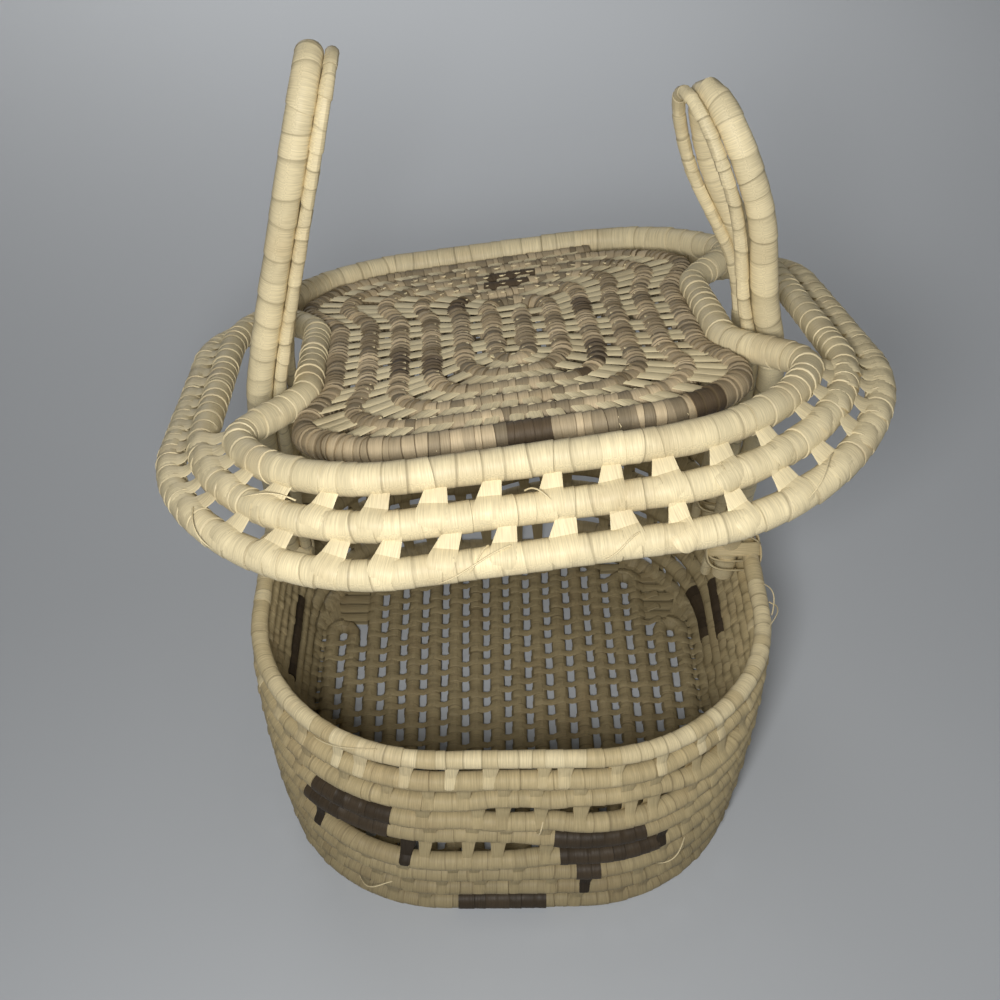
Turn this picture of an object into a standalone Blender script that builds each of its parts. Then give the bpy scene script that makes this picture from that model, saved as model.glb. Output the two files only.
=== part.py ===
"""Coiled pie basket with a lid that rides up and down its two tall handles.

A rounded square body is coiled from wrapped cord: a floor of runs that double back and forth, seven
wall rows and a rim, held together by stitches. Two handles, each a thick and a thin strand bent into
a hairpin, are bound to the inside of the rim and pass up through slots in the lid, which is a coiled
panel inside a ridge and two skirt rows. The origin is under the floor, on the flat of the run just
right of the middle. +Z is up and -Y is the front.
"""

import math

import bmesh
import bpy
import numpy as np
from mathutils import Euler, Vector

# Wrapped cords
coil_diameter = 0.0101
base_coil_diameter = 0.0088
panel_coil_diameter = 0.0118
lid_edge_coil_diameter = 0.0138
ridge_coil_diameter = 0.0134
clearance = 0.0003
flat_share = 0.1

# Body
mouth_half_width = 0.1350
mouth_half_depth = 0.1470
mouth_corner_radius = 0.0990
base_half_width = 0.1274
base_half_depth = 0.1395
base_corner_radius = 0.0913
rim_height = 0.1411
wall_bulge = 0.0027
wall_row_spacing = 0.0171
climb_station = 7.0

# Floor
base_run_pitch = 0.0135
base_stitch_pitch = 0.0330

# Stitches
thread_diameter = 0.0012
wall_stitches = 20
wall_stitch_diameter = 0.0078
base_stitch_diameter = 0.0042
panel_stitch_pitch = 0.0160
panel_stitch_diameter = 0.0046
skirt_stitches = 22
skirt_stitch_diameter = 0.0060

# Lid panel
panel_loops = 6
panel_pitch = 0.0192
panel_front = 0.0270
panel_front_pitch = 0.0155
panel_back = 0.0500
panel_back_pitch = 0.0140
panel_corner_share = 0.55
panel_least_corner_radius = 0.0216
panel_sink = 0.0047
panel_squeeze_share = 0.2035

# Lid edge: the ridge row, then two skirt rows that step out and down from it
ridge_half_width = 0.1269
ridge_half_depth = 0.1411
ridge_corner_radius = 0.0810
ridge_squeeze_share = 0.243
first_skirt_half_width = 0.1431
first_skirt_half_depth = 0.1512
first_skirt_corner_radius = 0.0945
last_skirt_half_width = 0.1582
last_skirt_half_depth = 0.1607
last_skirt_corner_radius = 0.1040
skirt_loops = 2
skirt_side_drop = 0.0068
skirt_front_drop = 0.0159

# Slots in the lid, where the panel and the ridge are drawn in
slot_middle = 0.0028
slot_half_length = 0.0370
slot_taper = 0.0540

# Lid at rest, pushed up the handles and tipped
lid_offset = Vector((-0.0007, -0.0142, 0.2973))
lid_pitch_angle = math.radians(-16.33)
lid_roll_angle = math.radians(-5.84)
lid_yaw_angle = math.radians(2.64)
start_knot_size = Vector((0.0016, 0.0120, 0.0050))

# Handles
handle_strand_diameter = 0.0122
handle_thin_diameter = 0.0057
handle_foot_depth = 0.0236
handle_rim_middle = 0.0209
handle_rim_half_gap = 0.0236
handle_lean_height = 0.2970
handle_lean_middle = -0.0182
handle_arch_rise = 0.0420
handle_arch_half_gap = 0.0205
left_knee_height = 0.2770
left_knee_slope_share = 0.238
left_top_height = 0.4388
left_top_middle = -0.0095
left_twist_share = 0.0
right_knee_height = 0.3080
right_knee_slope_share = 0.340
right_top_height = 0.4253
right_top_middle = -0.0196
right_twist_share = 0.38
handle_twist_start = 0.3250
handle_twist_full = 0.3850
handle_knee_softness = 0.0202
binding_diameter = 0.0032
binding_slant_share = 1.174

# Dyed wrapping: a skin over a stretch of a row
dyed_thickness = 0.0004
dyed_overrun = 0.0020

# Each stretch: name, height row counted from the floor edge, middle and half length as shares of a loop
dyed_stretch_shares = (
    ("dyed_front_left_upper", 5, 0.552, 0.024),
    ("dyed_front_left_lower", 4, 0.559, 0.027),
    ("dyed_front_right_upper", 4, 0.415, 0.025),
    ("dyed_front_right_lower", 3, 0.408, 0.028),
    ("dyed_front_small", 2, 0.419, 0.007),
    ("dyed_front_foot", 0, 0.467, 0.027),
    ("dyed_right_upper", 3, 0.180, 0.024),
    ("dyed_right_lower", 1, 0.150, 0.024),
    ("dyed_left_wall", 3, 0.722, 0.034),
)

# Stretches of the gap under the rim that are laced, between the feet of the handles
rim_lacing_shares = (("rim_lacing_front", 0.250, 0.675), ("rim_lacing_back", 0.790, 1.135))

straw = (0.78, 0.66, 0.42)
pale_straw = (0.86, 0.76, 0.52)
grey_straw = (0.56, 0.47, 0.31)
dyed_brown = (0.11, 0.06, 0.035)

centre_x = -base_run_pitch / 2
edge_height = coil_diameter * (0.5 - flat_share)
base_height = base_coil_diameter * (0.5 - flat_share)
wall_loops = round((rim_height - edge_height) / wall_row_spacing) - 1
wall_pitch = (rim_height - edge_height) / (wall_loops + 1)
base_run_inset = (coil_diameter + base_coil_diameter) / 2.0 + dyed_thickness + 3.0 * clearance
base_runs = 2 * round((base_half_width - base_run_inset) / base_run_pitch)


def clear_scene():
    for obj in list(bpy.data.objects):
        bpy.data.objects.remove(obj, do_unlink=True)


def collection(name):
    made = bpy.data.collections.new(name)
    bpy.context.scene.collection.children.link(made)
    return made


def material(name, colour, roughness):
    made = bpy.data.materials.new(name)
    made.use_nodes = True
    shader = made.node_tree.nodes["Principled BSDF"]
    shader.inputs["Base Color"].default_value = (*colour, 1.0)
    shader.inputs["Roughness"].default_value = roughness
    shader.inputs["Metallic"].default_value = 0.0
    made.diffuse_color = (*colour, 1.0)
    return made


def ramp(share):
    share = min(max(share, 0.0), 1.0)
    return share * share * (3.0 - 2.0 * share)


def outline_pieces(half_width, half_depth, radius):
    """Lengths of the eight pieces of a rounded rectangle, corner and straight in turn, from back right."""
    arc = math.pi * radius / 2.0
    return (arc, 2.0 * (half_depth - radius), arc, 2.0 * (half_width - radius)) * 2


def outline_at(half_width, half_depth, radius, station):
    """Point and outward normal at a station: the piece's number, plus how far along that piece."""
    station %= 8.0
    piece = int(station)
    share = station - piece
    quarter = piece // 2
    side, end = ((1, 1), (1, -1), (-1, -1), (-1, 1))[quarter]
    centre = Vector((side * (half_width - radius), end * (half_depth - radius), 0.0))
    angle = math.pi / 2.0 * (1 - quarter - (1.0 if piece % 2 else share))
    normal = Vector((math.cos(angle), math.sin(angle), 0.0))
    point = centre + radius * normal
    if piece % 2:
        point += Vector((normal.y, -normal.x, 0.0)) * outline_pieces(half_width, half_depth, radius)[piece] * share
    return point, normal


def station_at(outline, share):
    """The station at a share of an outline's length."""
    pieces = outline_pieces(*outline)
    length = (share % 1.0) * sum(pieces)
    for piece, piece_length in enumerate(pieces):
        if length < piece_length or piece == 7:
            return piece + min(length / max(piece_length, clearance), 1.0 - 1e-9)
        length -= piece_length
    return 0.0


def loop_stations(corner_steps, side_steps=1, back_steps=1):
    """Stations of a coil's points round one loop: its corners, and divisions of its sides and back."""
    stations = []
    for quarter, steps in enumerate((side_steps, 1, side_steps, back_steps)):
        stations += [2 * quarter + step / corner_steps for step in range(corner_steps + 1)]
        stations += [2 * quarter + 1 + step / steps for step in range(1, steps)]
    return stations


def stitch_stations(outline, count):
    return [station_at(outline, step / (2.0 * count)) for step in range(2 * count)]


def level_at(loop, station):
    """Row number after whole loops: level, then a climb of one row over the last corner and the back."""
    return loop + ramp((station - climb_station) / (8.0 - climb_station))


def unbroken(count, stations):
    """Loop and station of each point of a coil that ends where its last climb would begin."""
    places = [(loop, station) for loop in range(count) for station in stations]
    return [place for place in places if place < (count - 1, climb_station)] + [(count - 1, climb_station)]


def curve_object(name, points, diameter, home, look, closed=False, resolution=1, radii=None, z_up=True):
    data = bpy.data.curves.new(name, "CURVE")
    data.dimensions = "3D"
    data.twist_mode = "Z_UP" if z_up else "MINIMUM"
    data.bevel_depth = diameter / 2.0
    data.bevel_resolution = resolution
    data.render_resolution_u = 0
    data.use_fill_caps = True
    spline = data.splines.new("POLY")
    spline.points.add(len(points) - 1)
    for index, point in enumerate(points):
        spline.points[index].co = (*point, 1.0)
        spline.points[index].radius = 1.0 if radii is None else radii[index] / (diameter / 2.0)
    spline.use_cyclic_u = closed
    obj = bpy.data.objects.new(name, data)
    obj.data.materials.append(look)
    home.objects.link(obj)
    return obj


def to_mesh(obj, home):
    """The same object as a mesh whose end caps are welded, ready for a Boolean."""
    bpy.context.view_layer.update()
    evaluated = obj.evaluated_get(bpy.context.evaluated_depsgraph_get())
    data = bpy.data.meshes.new_from_object(evaluated)
    work = bmesh.new()
    work.from_mesh(data)
    bmesh.ops.remove_doubles(work, verts=work.verts, dist=clearance / 10.0)
    bmesh.ops.recalc_face_normals(work, faces=work.faces)
    work.to_mesh(data)
    work.free()
    name = obj.name
    made = bpy.data.objects.new(name + "_mesh", data)
    made.matrix_world = obj.matrix_world.copy()
    home.objects.link(made)
    bpy.data.objects.remove(obj, do_unlink=True)
    made.name = name
    return made


def boolean(obj, cutter, operation):
    modifier = obj.modifiers.new(operation.lower(), "BOOLEAN")
    modifier.operation = operation
    modifier.solver = "EXACT"
    modifier.object = cutter


def ground_cutter(home):
    reach = 4.0 * mouth_half_depth
    depth = coil_diameter
    bpy.ops.mesh.primitive_cube_add(size=1.0, location=(0.0, 0.0, -depth / 2.0))
    cutter = bpy.context.active_object
    cutter.name = "ground_cutter"
    cutter.scale = (reach, reach, depth)
    for owner in list(cutter.users_collection):
        owner.objects.unlink(cutter)
    home.objects.link(cutter)
    cutter.hide_render = True
    cutter.display_type = "WIRE"
    return cutter


def wall_outline(height):
    """Half width, half depth and corner radius of the wall at a height."""
    share = (height - edge_height) / (rim_height - edge_height)
    swell = wall_bulge * 4.0 * share * (1.0 - share)
    half_width = base_half_width + (mouth_half_width - base_half_width) * share + swell
    half_depth = base_half_depth + (mouth_half_depth - base_half_depth) * share + swell
    radius = base_corner_radius + (mouth_corner_radius - base_corner_radius) * share + swell
    return half_width, half_depth, radius


def wall_point(height, station):
    point, _ = outline_at(*wall_outline(height), station)
    return Vector((point.x, point.y, height))


def wall_height(row):
    return edge_height + wall_pitch * row


def wall_row_path():
    places = unbroken(wall_loops, loop_stations(5))
    return [wall_point(wall_height(1.0 + level_at(loop, station)), station) for loop, station in places]


def ring_path(height):
    return [wall_point(height, station) for station in loop_stations(5)]


def run_x(index):
    return (index - (base_runs - 1) / 2.0) * base_run_pitch


def run_limit(index):
    """How far from the middle the centre line of a floor run may reach at its x."""
    radius = base_corner_radius - base_run_inset
    past = max(abs(run_x(index)) - (base_half_width - base_run_inset - radius), 0.0)
    return base_half_depth - base_run_inset - radius + math.sqrt(max(radius**2 - past**2, 0.0))


def bend_depth(index):
    """Where the straight of a run ends, before the bend that joins it to the next run."""
    return min(run_limit(index), run_limit(index + 1)) - base_run_pitch / 2.0


def base_path():
    bend_radius = base_run_pitch / 2.0
    points = []
    for index in range(base_runs):
        end = 1 if index % 2 == 0 else -1
        begin = bend_depth(index - 1) if index else run_limit(0)
        points.append(Vector((run_x(index), -end * begin, base_height)))
        if index == base_runs - 1:
            points.append(Vector((run_x(index), end * run_limit(index), base_height)))
            break
        depth = bend_depth(index)
        points.append(Vector((run_x(index), end * depth, base_height)))
        middle = run_x(index) + bend_radius
        for step in (1, 2, 3):
            angle = math.pi * step / 4.0
            x = middle - bend_radius * math.cos(angle)
            points.append(Vector((x, end * (depth + bend_radius * math.sin(angle)), base_height)))
    return points


def base_thread_path():
    """A thread up one gap of the floor, over the next run and down the gap beyond it."""
    hop_height = base_height + (base_coil_diameter + thread_diameter) / 2.0 + 2.0 * clearance
    points = []
    stitched = []
    for gap in range(base_runs - 1):
        end = 1 if gap % 2 == 0 else -1
        x = (run_x(gap) + run_x(gap + 1)) / 2.0
        near = hop_depth(gap - 1) if gap else hop_depth(0)
        far = hop_depth(gap)
        count = max(round((near + far) / base_stitch_pitch), 1)
        for step in range(2 * count + 1):
            y = end * (-near + (near + far) * step / (2.0 * count))
            points.append(Vector((x, y, base_height)))
            stitched.append(step % 2 == 1)
        if gap < base_runs - 2:
            points.append(Vector((x, end * far, hop_height)))
            points.append(Vector((x + base_run_pitch, end * far, hop_height)))
            stitched += [False, False]
    return points, stitched


def hop_depth(gap):
    last = base_runs - 2
    return min(bend_depth(k) for k in (gap, min(gap + 1, last), min(gap + 2, last))) - base_coil_diameter


def squeeze(y):
    """One between the slots, falling smoothly to nothing past their ends."""
    return 1.0 - ramp((abs(y - slot_middle) - slot_half_length) / slot_taper)


def panel_outline(level):
    """Half width, half depth, corner radius and middle y of a loop of the panel."""
    half_width = panel_pitch * (level + 0.5)
    front = panel_front + panel_front_pitch * level
    back = panel_back + panel_back_pitch * level
    radius = max(min(half_width, panel_least_corner_radius), panel_corner_share * half_width)
    return half_width, (front + back) / 2.0, radius, (back - front) / 2.0


def panel_point(level, station):
    half_width, half_depth, radius, middle = panel_outline(level)
    point, _ = outline_at(half_width, half_depth, radius, station)
    y = point.y + middle
    return Vector((point.x * (1.0 - panel_squeeze_share * squeeze(y)), y, -panel_sink))


def panel_level(loop, station):
    """Row number in the panel: it steps out by one steadily round the head of the middle strip."""
    head = panel_back - panel_pitch / 2.0
    base = loop - 1 if station < 1.0 else loop
    level = loop
    for _ in range(8):
        point = panel_point(level, station)
        turned = math.atan2(max(point.y - head, 0.0), -point.x) / math.pi
        level = base + (turned if station < 1.0 or station > 5.0 else 0.0)
    return level


def panel_path():
    """The panel's spiral, from the first straight of its inmost loop."""
    places = [(loop, station) for loop in range(panel_loops) for station in loop_stations(5, 6, 2)]
    places = [place for place in places if place >= (0, 1.0)]
    return [panel_point(panel_level(loop, station), station) for loop, station in places]


def ridge_path(steps=56):
    outline = (ridge_half_width, ridge_half_depth, ridge_corner_radius)
    points = []
    for step in range(steps):
        point, _ = outline_at(*outline, station_at(outline, step / steps))
        points.append(Vector((point.x * (1.0 - ridge_squeeze_share * squeeze(point.y)), point.y, 0.0)))
    return points


def skirt_outline(level):
    """Half width, half depth and corner radius at a row: -1 is the ridge, 0 and 1 the skirt's rows."""
    ridge = (ridge_half_width, ridge_half_depth, ridge_corner_radius)
    first = (first_skirt_half_width, first_skirt_half_depth, first_skirt_corner_radius)
    last = (last_skirt_half_width, last_skirt_half_depth, last_skirt_corner_radius)
    if level < 0.0:
        return tuple(inner + (outer - inner) * (level + 1.0) for inner, outer in zip(ridge, first))
    return tuple(inner + (outer - inner) * level for inner, outer in zip(first, last))


def skirt_point(level, station):
    point, normal = outline_at(*skirt_outline(level), station)
    drop = skirt_side_drop * normal.x**2 + skirt_front_drop * normal.y**2
    return Vector((point.x, point.y, -drop * (1.0 + level)))


def skirt_path():
    places = unbroken(skirt_loops, loop_stations(7))
    return [skirt_point(level_at(loop, station), station) for loop, station in places]


def knee_x(height, knee_height, slope_share):
    """Distance of the thick strand from the middle: upright, then leaning in past a soft knee."""
    upright = mouth_half_width - (coil_diameter + handle_strand_diameter) / 2.0 - clearance
    above = height - knee_height
    lean = (math.sqrt(above**2 + handle_knee_softness**2) + above) / 2.0
    return upright - slope_share * lean


def handle_path(side, knee_height, slope_share, top_height, top_middle, twist_share, inset):
    """A hairpin: up the front leg, over the top and down the back leg, its top twisted about the upright."""
    foot_height = rim_height - handle_foot_depth
    arch_height = top_height - handle_arch_rise

    def leg(height):
        lean = (height - rim_height) / (handle_lean_height - rim_height)
        rise = min(max((height - handle_lean_height) / (top_height - handle_lean_height), 0.0), 1.0)
        low = handle_rim_middle + (handle_lean_middle - handle_rim_middle) * min(lean, 1.0)
        middle = low + (top_middle - handle_lean_middle) * rise
        narrow = ramp((height - rim_height) / (arch_height - rim_height))
        return middle, handle_rim_half_gap + (handle_arch_half_gap - handle_rim_half_gap) * narrow

    def at(height, y):
        twist = twist_share * ramp((height - handle_twist_start) / (handle_twist_full - handle_twist_start))
        inward = inset * math.hypot(1.0, slope_share) * math.hypot(1.0, twist)
        turned = twist * (y - leg(height)[0])
        return Vector((side * (knee_x(height, knee_height, slope_share) - inward - turned), y, height))

    steps = 10
    heights = [foot_height + (arch_height - foot_height) * step / steps for step in range(steps + 1)]
    front = [at(height, leg(height)[0] - leg(height)[1]) for height in heights]
    back = [at(height, leg(height)[0] + leg(height)[1]) for height in reversed(heights)]
    arch = []
    for step in range(1, 8):
        angle = math.pi * step / 8.0
        height = arch_height + handle_arch_rise * math.sin(angle)
        arch.append(at(height, leg(height)[0] - handle_arch_half_gap * math.cos(angle)))
    return front + arch + back


def binding_path(side, y, steps=16):
    """An oval ring, slanted at 45 degrees, round the rim and both strands of one handle foot."""
    reach_in = thread_inset() + handle_thin_diameter / 2.0 - handle_strand_diameter / 2.0
    outer = mouth_half_width + coil_diameter / 2.0
    inner = mouth_half_width - (coil_diameter + 2.0 * handle_strand_diameter) / 2.0 - reach_in
    middle = (outer + inner) / 2.0
    half_long = (outer - inner) / 2.0 + binding_diameter
    half_short = (coil_diameter + binding_diameter) * binding_slant_share
    points = []
    for step in range(steps):
        angle = 2.0 * math.pi * step / steps
        slant = half_short * math.sin(angle) / math.sqrt(2.0)
        points.append(Vector((side * (middle + half_long * math.cos(angle)), y + slant, rim_height + slant)))
    return points


def thread_inset():
    """Distance between the centre lines of a handle's thick and thin strand."""
    return (handle_strand_diameter + handle_thin_diameter) / 2.0 + clearance


def offset_from(path, closed, point):
    """The vector to a point from the nearest place on a path of straight pieces."""
    start = np.array([tuple(place) for place in path])
    end = np.roll(start, -1, axis=0)
    if not closed:
        start, end = start[:-1], end[:-1]
    along = end - start
    offset = np.array(tuple(point)) - start
    share = np.clip((offset * along).sum(1) / np.maximum((along * along).sum(1), 1e-12), 0.0, 1.0)
    away = offset - share[:, None] * along
    return Vector(away[np.argmin(np.linalg.norm(away, axis=1))])


def eased(point, neighbours):
    """The place of a thread, moved off any row it would touch."""
    place = point.copy()
    for _ in range(12):
        for path, neighbour_diameter, closed in neighbours:
            away = offset_from(path, closed, place)
            lack = (neighbour_diameter + thread_diameter) / 2.0 + 1.3 * clearance - away.length
            place += away.normalized() * max(lack, 0.0) * 0.6
    return place


def stitch_radii(points, stitched, diameter, neighbours):
    """A stitch swells until it nearly meets the rows beside it; between stitches the thread is thin."""
    radii = []
    for index, fat in enumerate(stitched):
        wanted = (diameter if fat else thread_diameter) / 2.0
        before = points[max(index - 1, 0)]
        after = points[min(index + 1, len(points) - 1)]
        for place in (points[index], points[index].lerp(before, 0.25), points[index].lerp(after, 0.25)):
            for path, neighbour_diameter, closed in neighbours:
                gap = offset_from(path, closed, place).length - neighbour_diameter / 2.0
                wanted = min(wanted, gap - 1.3 * clearance)
        radii.append(max(wanted, thread_diameter / 6.0))
    return radii


def lacing(name, points, stitched, diameter, neighbours, home, look, resolution=0):
    points = [eased(point, neighbours) for point in points]
    radii = stitch_radii(points, stitched, diameter, neighbours)
    return curve_object(name, points, thread_diameter, home, look, resolution=resolution, radii=radii)


def path_section(path, closed, middle, half_length):
    """The stretch of a path within half a length of the point nearest to a place."""
    points = list(path) + ([path[0]] if closed else [])
    lengths = [0.0]
    for one, two in zip(points, points[1:]):
        lengths.append(lengths[-1] + (two - one).length)
    nearest = min(range(len(points) - 1), key=lambda k: segment_gap(middle, points[k], points[k + 1]))
    one, two = points[nearest], points[nearest + 1]
    share = min(max((middle - one).dot(two - one) / (two - one).length_squared, 0.0), 1.0)
    centre = lengths[nearest] + share * (two - one).length
    low, high = centre - half_length, centre + half_length
    inside = [point for point, length in zip(points, lengths) if low + clearance < length < high - clearance]
    return [point_at(points, lengths, low)] + inside + [point_at(points, lengths, high)]


def segment_gap(place, one, two):
    share = min(max((place - one).dot(two - one) / max((two - one).length_squared, 1e-12), 0.0), 1.0)
    return (place - one - share * (two - one)).length


def point_at(points, lengths, length):
    for index in range(len(points) - 1):
        if length <= lengths[index + 1] or index == len(points) - 2:
            share = (length - lengths[index]) / (lengths[index + 1] - lengths[index])
            return points[index] + share * (points[index + 1] - points[index])
    return points[-1]


def lengthened(points, extra):
    first = points[0] + (points[0] - points[1]).normalized() * extra
    last = points[-1] + (points[-1] - points[-2]).normalized() * extra
    return [first] + points[1:-1] + [last]


def dyed_sleeve(name, path, closed, place, half_length, home, cutters, look):
    """A dyed wrap: a thin open sleeve round a stretch of a row."""
    stretch = path_section(path, closed, place, half_length)
    bore = coil_diameter + 2.4 * clearance
    skin = curve_object(name, stretch, bore + 2.0 * dyed_thickness, home, look)
    core = curve_object(name + "_bore", lengthened(stretch, dyed_overrun), bore, cutters, look)
    skin.location.x = centre_x
    core.location.x = centre_x
    skin = to_mesh(skin, home)
    core = to_mesh(core, cutters)
    core.hide_render = True
    core.display_type = "WIRE"
    boolean(skin, core, "DIFFERENCE")
    return skin


def least_self_gap(path, diameter, step):
    """Least distance between a coil's own surfaces, measured on points that lie well apart along it."""
    fine = []
    for one, two in zip(path, path[1:]):
        count = max(int((two - one).length / step), 1)
        fine += [one + (two - one) * k / count for k in range(count)]
    points = np.array([tuple(point) for point in fine])
    lengths = np.concatenate(([0.0], np.cumsum(np.linalg.norm(np.diff(points, axis=0), axis=1))))
    least = 1e9
    for index in range(len(points)):
        apart = np.abs(lengths - lengths[index]) > 2.0 * diameter
        if apart.any():
            least = min(least, float(np.linalg.norm(points[apart] - points[index], axis=1).min()))
    return least - diameter


def build():
    clear_scene()
    home = collection("pie_basket")
    cutters = collection("cutters")
    looks = {
        "wall": material("straw_wrap", straw, 0.62),
        "pale": material("pale_straw_wrap", pale_straw, 0.60),
        "grey": material("grey_straw_stitch", grey_straw, 0.70),
        "dyed": material("dyed_brown_wrap", dyed_brown, 0.65),
    }
    ground = ground_cutter(cutters)

    # Body
    floor_path = base_path()
    edge_path = ring_path(edge_height)
    wall_path = wall_row_path()
    rim_path = ring_path(rim_height)
    for name, path, diameter, closed in (
        ("base_coil", floor_path, base_coil_diameter, False),
        ("base_edge_coil", edge_path, coil_diameter, True),
    ):
        made = curve_object(name, path, diameter, home, looks["wall"], closed=closed)
        made.location.x = centre_x
        boolean(to_mesh(made, home), ground, "DIFFERENCE")
    curve_object("wall_coil", wall_path, coil_diameter, home, looks["wall"]).location.x = centre_x
    curve_object("rim_coil", rim_path, coil_diameter, home, looks["pale"], closed=True).location.x = centre_x

    # Dyed wraps on rows of the wall
    sleeves = []
    sleeve_diameter = coil_diameter + 2.4 * clearance + 2.0 * dyed_thickness
    for name, row, middle_share, half_share in dyed_stretch_shares:
        outline = wall_outline(wall_height(row))
        path, closed = (edge_path, True) if row == 0 else (wall_path, False)
        perimeter = sum(outline_pieces(*outline))
        place = wall_point(wall_height(row), station_at(outline, middle_share))
        stretch = path_section(path, closed, place, half_share * perimeter)
        sleeves.append((stretch, sleeve_diameter, False))
        made = dyed_sleeve(name, path, closed, place, half_share * perimeter, home, cutters, looks["dyed"])
        if row == 0:
            boolean(made, ground, "DIFFERENCE")

    # Handles and their bindings
    handle_sizes = {
        "left": (
            -1,
            left_knee_height,
            left_knee_slope_share,
            left_top_height,
            left_top_middle,
            left_twist_share,
        ),
        "right": (
            1,
            right_knee_height,
            right_knee_slope_share,
            right_top_height,
            right_top_middle,
            right_twist_share,
        ),
    }
    for name, sizes in handle_sizes.items():
        thick = handle_path(*sizes, 0.0)
        thin = handle_path(*sizes, thread_inset())
        curve_object(
            name + "_handle_strand", thick, handle_strand_diameter, home, looks["pale"], z_up=False
        ).location.x = centre_x
        curve_object(
            name + "_handle_thin_strand", thin, handle_thin_diameter, home, looks["wall"], z_up=False
        ).location.x = centre_x
        for end, y in (
            ("front", handle_rim_middle - handle_rim_half_gap),
            ("back", handle_rim_middle + handle_rim_half_gap),
        ):
            ring = binding_path(sizes[0], y)
            made = curve_object(
                name + "_" + end + "_foot_binding",
                ring,
                binding_diameter,
                home,
                looks["grey"],
                closed=True,
                z_up=False,
            )
            made.location.x = centre_x

    # Lacing of the body
    flat_top = math.cos(math.pi / 6.0)
    rows = [
        (edge_path, coil_diameter * flat_top, True),
        (wall_path, coil_diameter * flat_top, False),
        (rim_path, coil_diameter * flat_top, True),
    ] + sleeves
    points, stitched = base_thread_path()
    floor_rows = [(floor_path, base_coil_diameter, False), (edge_path, coil_diameter, True)]
    made = lacing("base_lacing", points, stitched, base_stitch_diameter, floor_rows, home, looks["grey"])
    made.location.x = centre_x
    places = unbroken(wall_loops, stitch_stations(wall_outline(rim_height / 2.0), wall_stitches))
    points = [wall_point(wall_height(0.5 + level_at(loop, station)), station) for loop, station in places]
    stitched = [index % 2 == 1 for index in range(len(places))]
    made = lacing("wall_lacing", points, stitched, wall_stitch_diameter, rows, home, looks["grey"])
    made.location.x = centre_x
    under_rim = rim_height - wall_pitch / 2.0
    for name, begin, end in rim_lacing_shares:
        count = round((end - begin) * wall_stitches)
        shares = [begin + (end - begin) * step / (2.0 * count) for step in range(2 * count + 1)]
        points = [wall_point(under_rim, station_at(wall_outline(under_rim), share)) for share in shares]
        stitched = [index % 2 == 1 for index in range(len(shares))]
        made = lacing(name, points, stitched, wall_stitch_diameter, rows[1:], home, looks["grey"])
        made.location.x = centre_x

    # Lid, modelled level round its own middle and placed by an empty
    tilt = bpy.data.objects.new("lid_pivot", None)
    tilt.location = lid_offset + Vector((centre_x, 0.0, 0.0))
    turn = Euler((0.0, 0.0, lid_yaw_angle)).to_matrix() @ Euler((lid_pitch_angle, 0.0, 0.0)).to_matrix()
    tilt.rotation_euler = (turn @ Euler((0.0, lid_roll_angle, 0.0)).to_matrix()).to_euler()
    home.objects.link(tilt)
    spiral = panel_path()
    ridge = ridge_path()
    skirt = skirt_path()
    curve_object("lid_panel_coil", spiral, panel_coil_diameter, home, looks["wall"]).parent = tilt
    curve_object("lid_ridge_coil", ridge, ridge_coil_diameter, home, looks["pale"], closed=True).parent = tilt
    curve_object("lid_skirt_coil", skirt, lid_edge_coil_diameter, home, looks["pale"]).parent = tilt
    lid_rows = [
        (spiral, panel_coil_diameter, False),
        (ridge, ridge_coil_diameter, True),
        (skirt, lid_edge_coil_diameter, False),
    ]
    points = []
    for loop in range(panel_loops - 1):
        outline = panel_outline(loop + 0.5)[:3]
        count = max(round(sum(outline_pieces(*outline)) / panel_stitch_pitch), 2)
        stations = stitch_stations(outline, count)
        stations = [station for station in sorted(stations + [7.0, 7.5]) if (loop, station) >= (0, 1.0)]
        points += [panel_point(panel_level(loop, station) + 0.5, station) for station in stations]
    stitched = [index % 2 == 1 for index in range(len(points))]
    made = lacing(
        "lid_panel_lacing", points, stitched, panel_stitch_diameter, lid_rows, home, looks["grey"]
    )
    made.parent = tilt
    places = unbroken(skirt_loops, stitch_stations(skirt_outline(0.5), skirt_stitches))
    points = [skirt_point(level_at(loop, station) - 0.5, station) for loop, station in places]
    stitched = [index % 2 == 1 for index in range(len(places))]
    made = lacing(
        "lid_skirt_lacing", points, stitched, skirt_stitch_diameter, lid_rows, home, looks["grey"], resolution=1
    )
    made.parent = tilt
    bpy.ops.mesh.primitive_uv_sphere_add(segments=10, ring_count=6, radius=0.5)
    knot = bpy.context.active_object
    knot.name = "lid_start_knot"
    for owner in list(knot.users_collection):
        owner.objects.unlink(knot)
    home.objects.link(knot)
    knot.scale = start_knot_size
    knot.data.materials.append(looks["grey"])
    knot.parent = tilt
    knot.location = (0.0, 0.0, -panel_sink)

    for name, path, diameter in (
        ("base_coil", floor_path, base_coil_diameter),
        ("wall_coil", wall_path, coil_diameter),
        ("lid_panel_coil", spiral, panel_coil_diameter),
        ("lid_skirt_coil", skirt, lid_edge_coil_diameter),
    ):
        print(name, "least gap to itself, mm:", round(least_self_gap(path, diameter, diameter / 3.0) * 1000.0, 2))


build()
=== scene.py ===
"""Dresses the coiled pie basket: leaf wraps on every row, stitches, dyed stretches and loose fibres."""

import math

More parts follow.
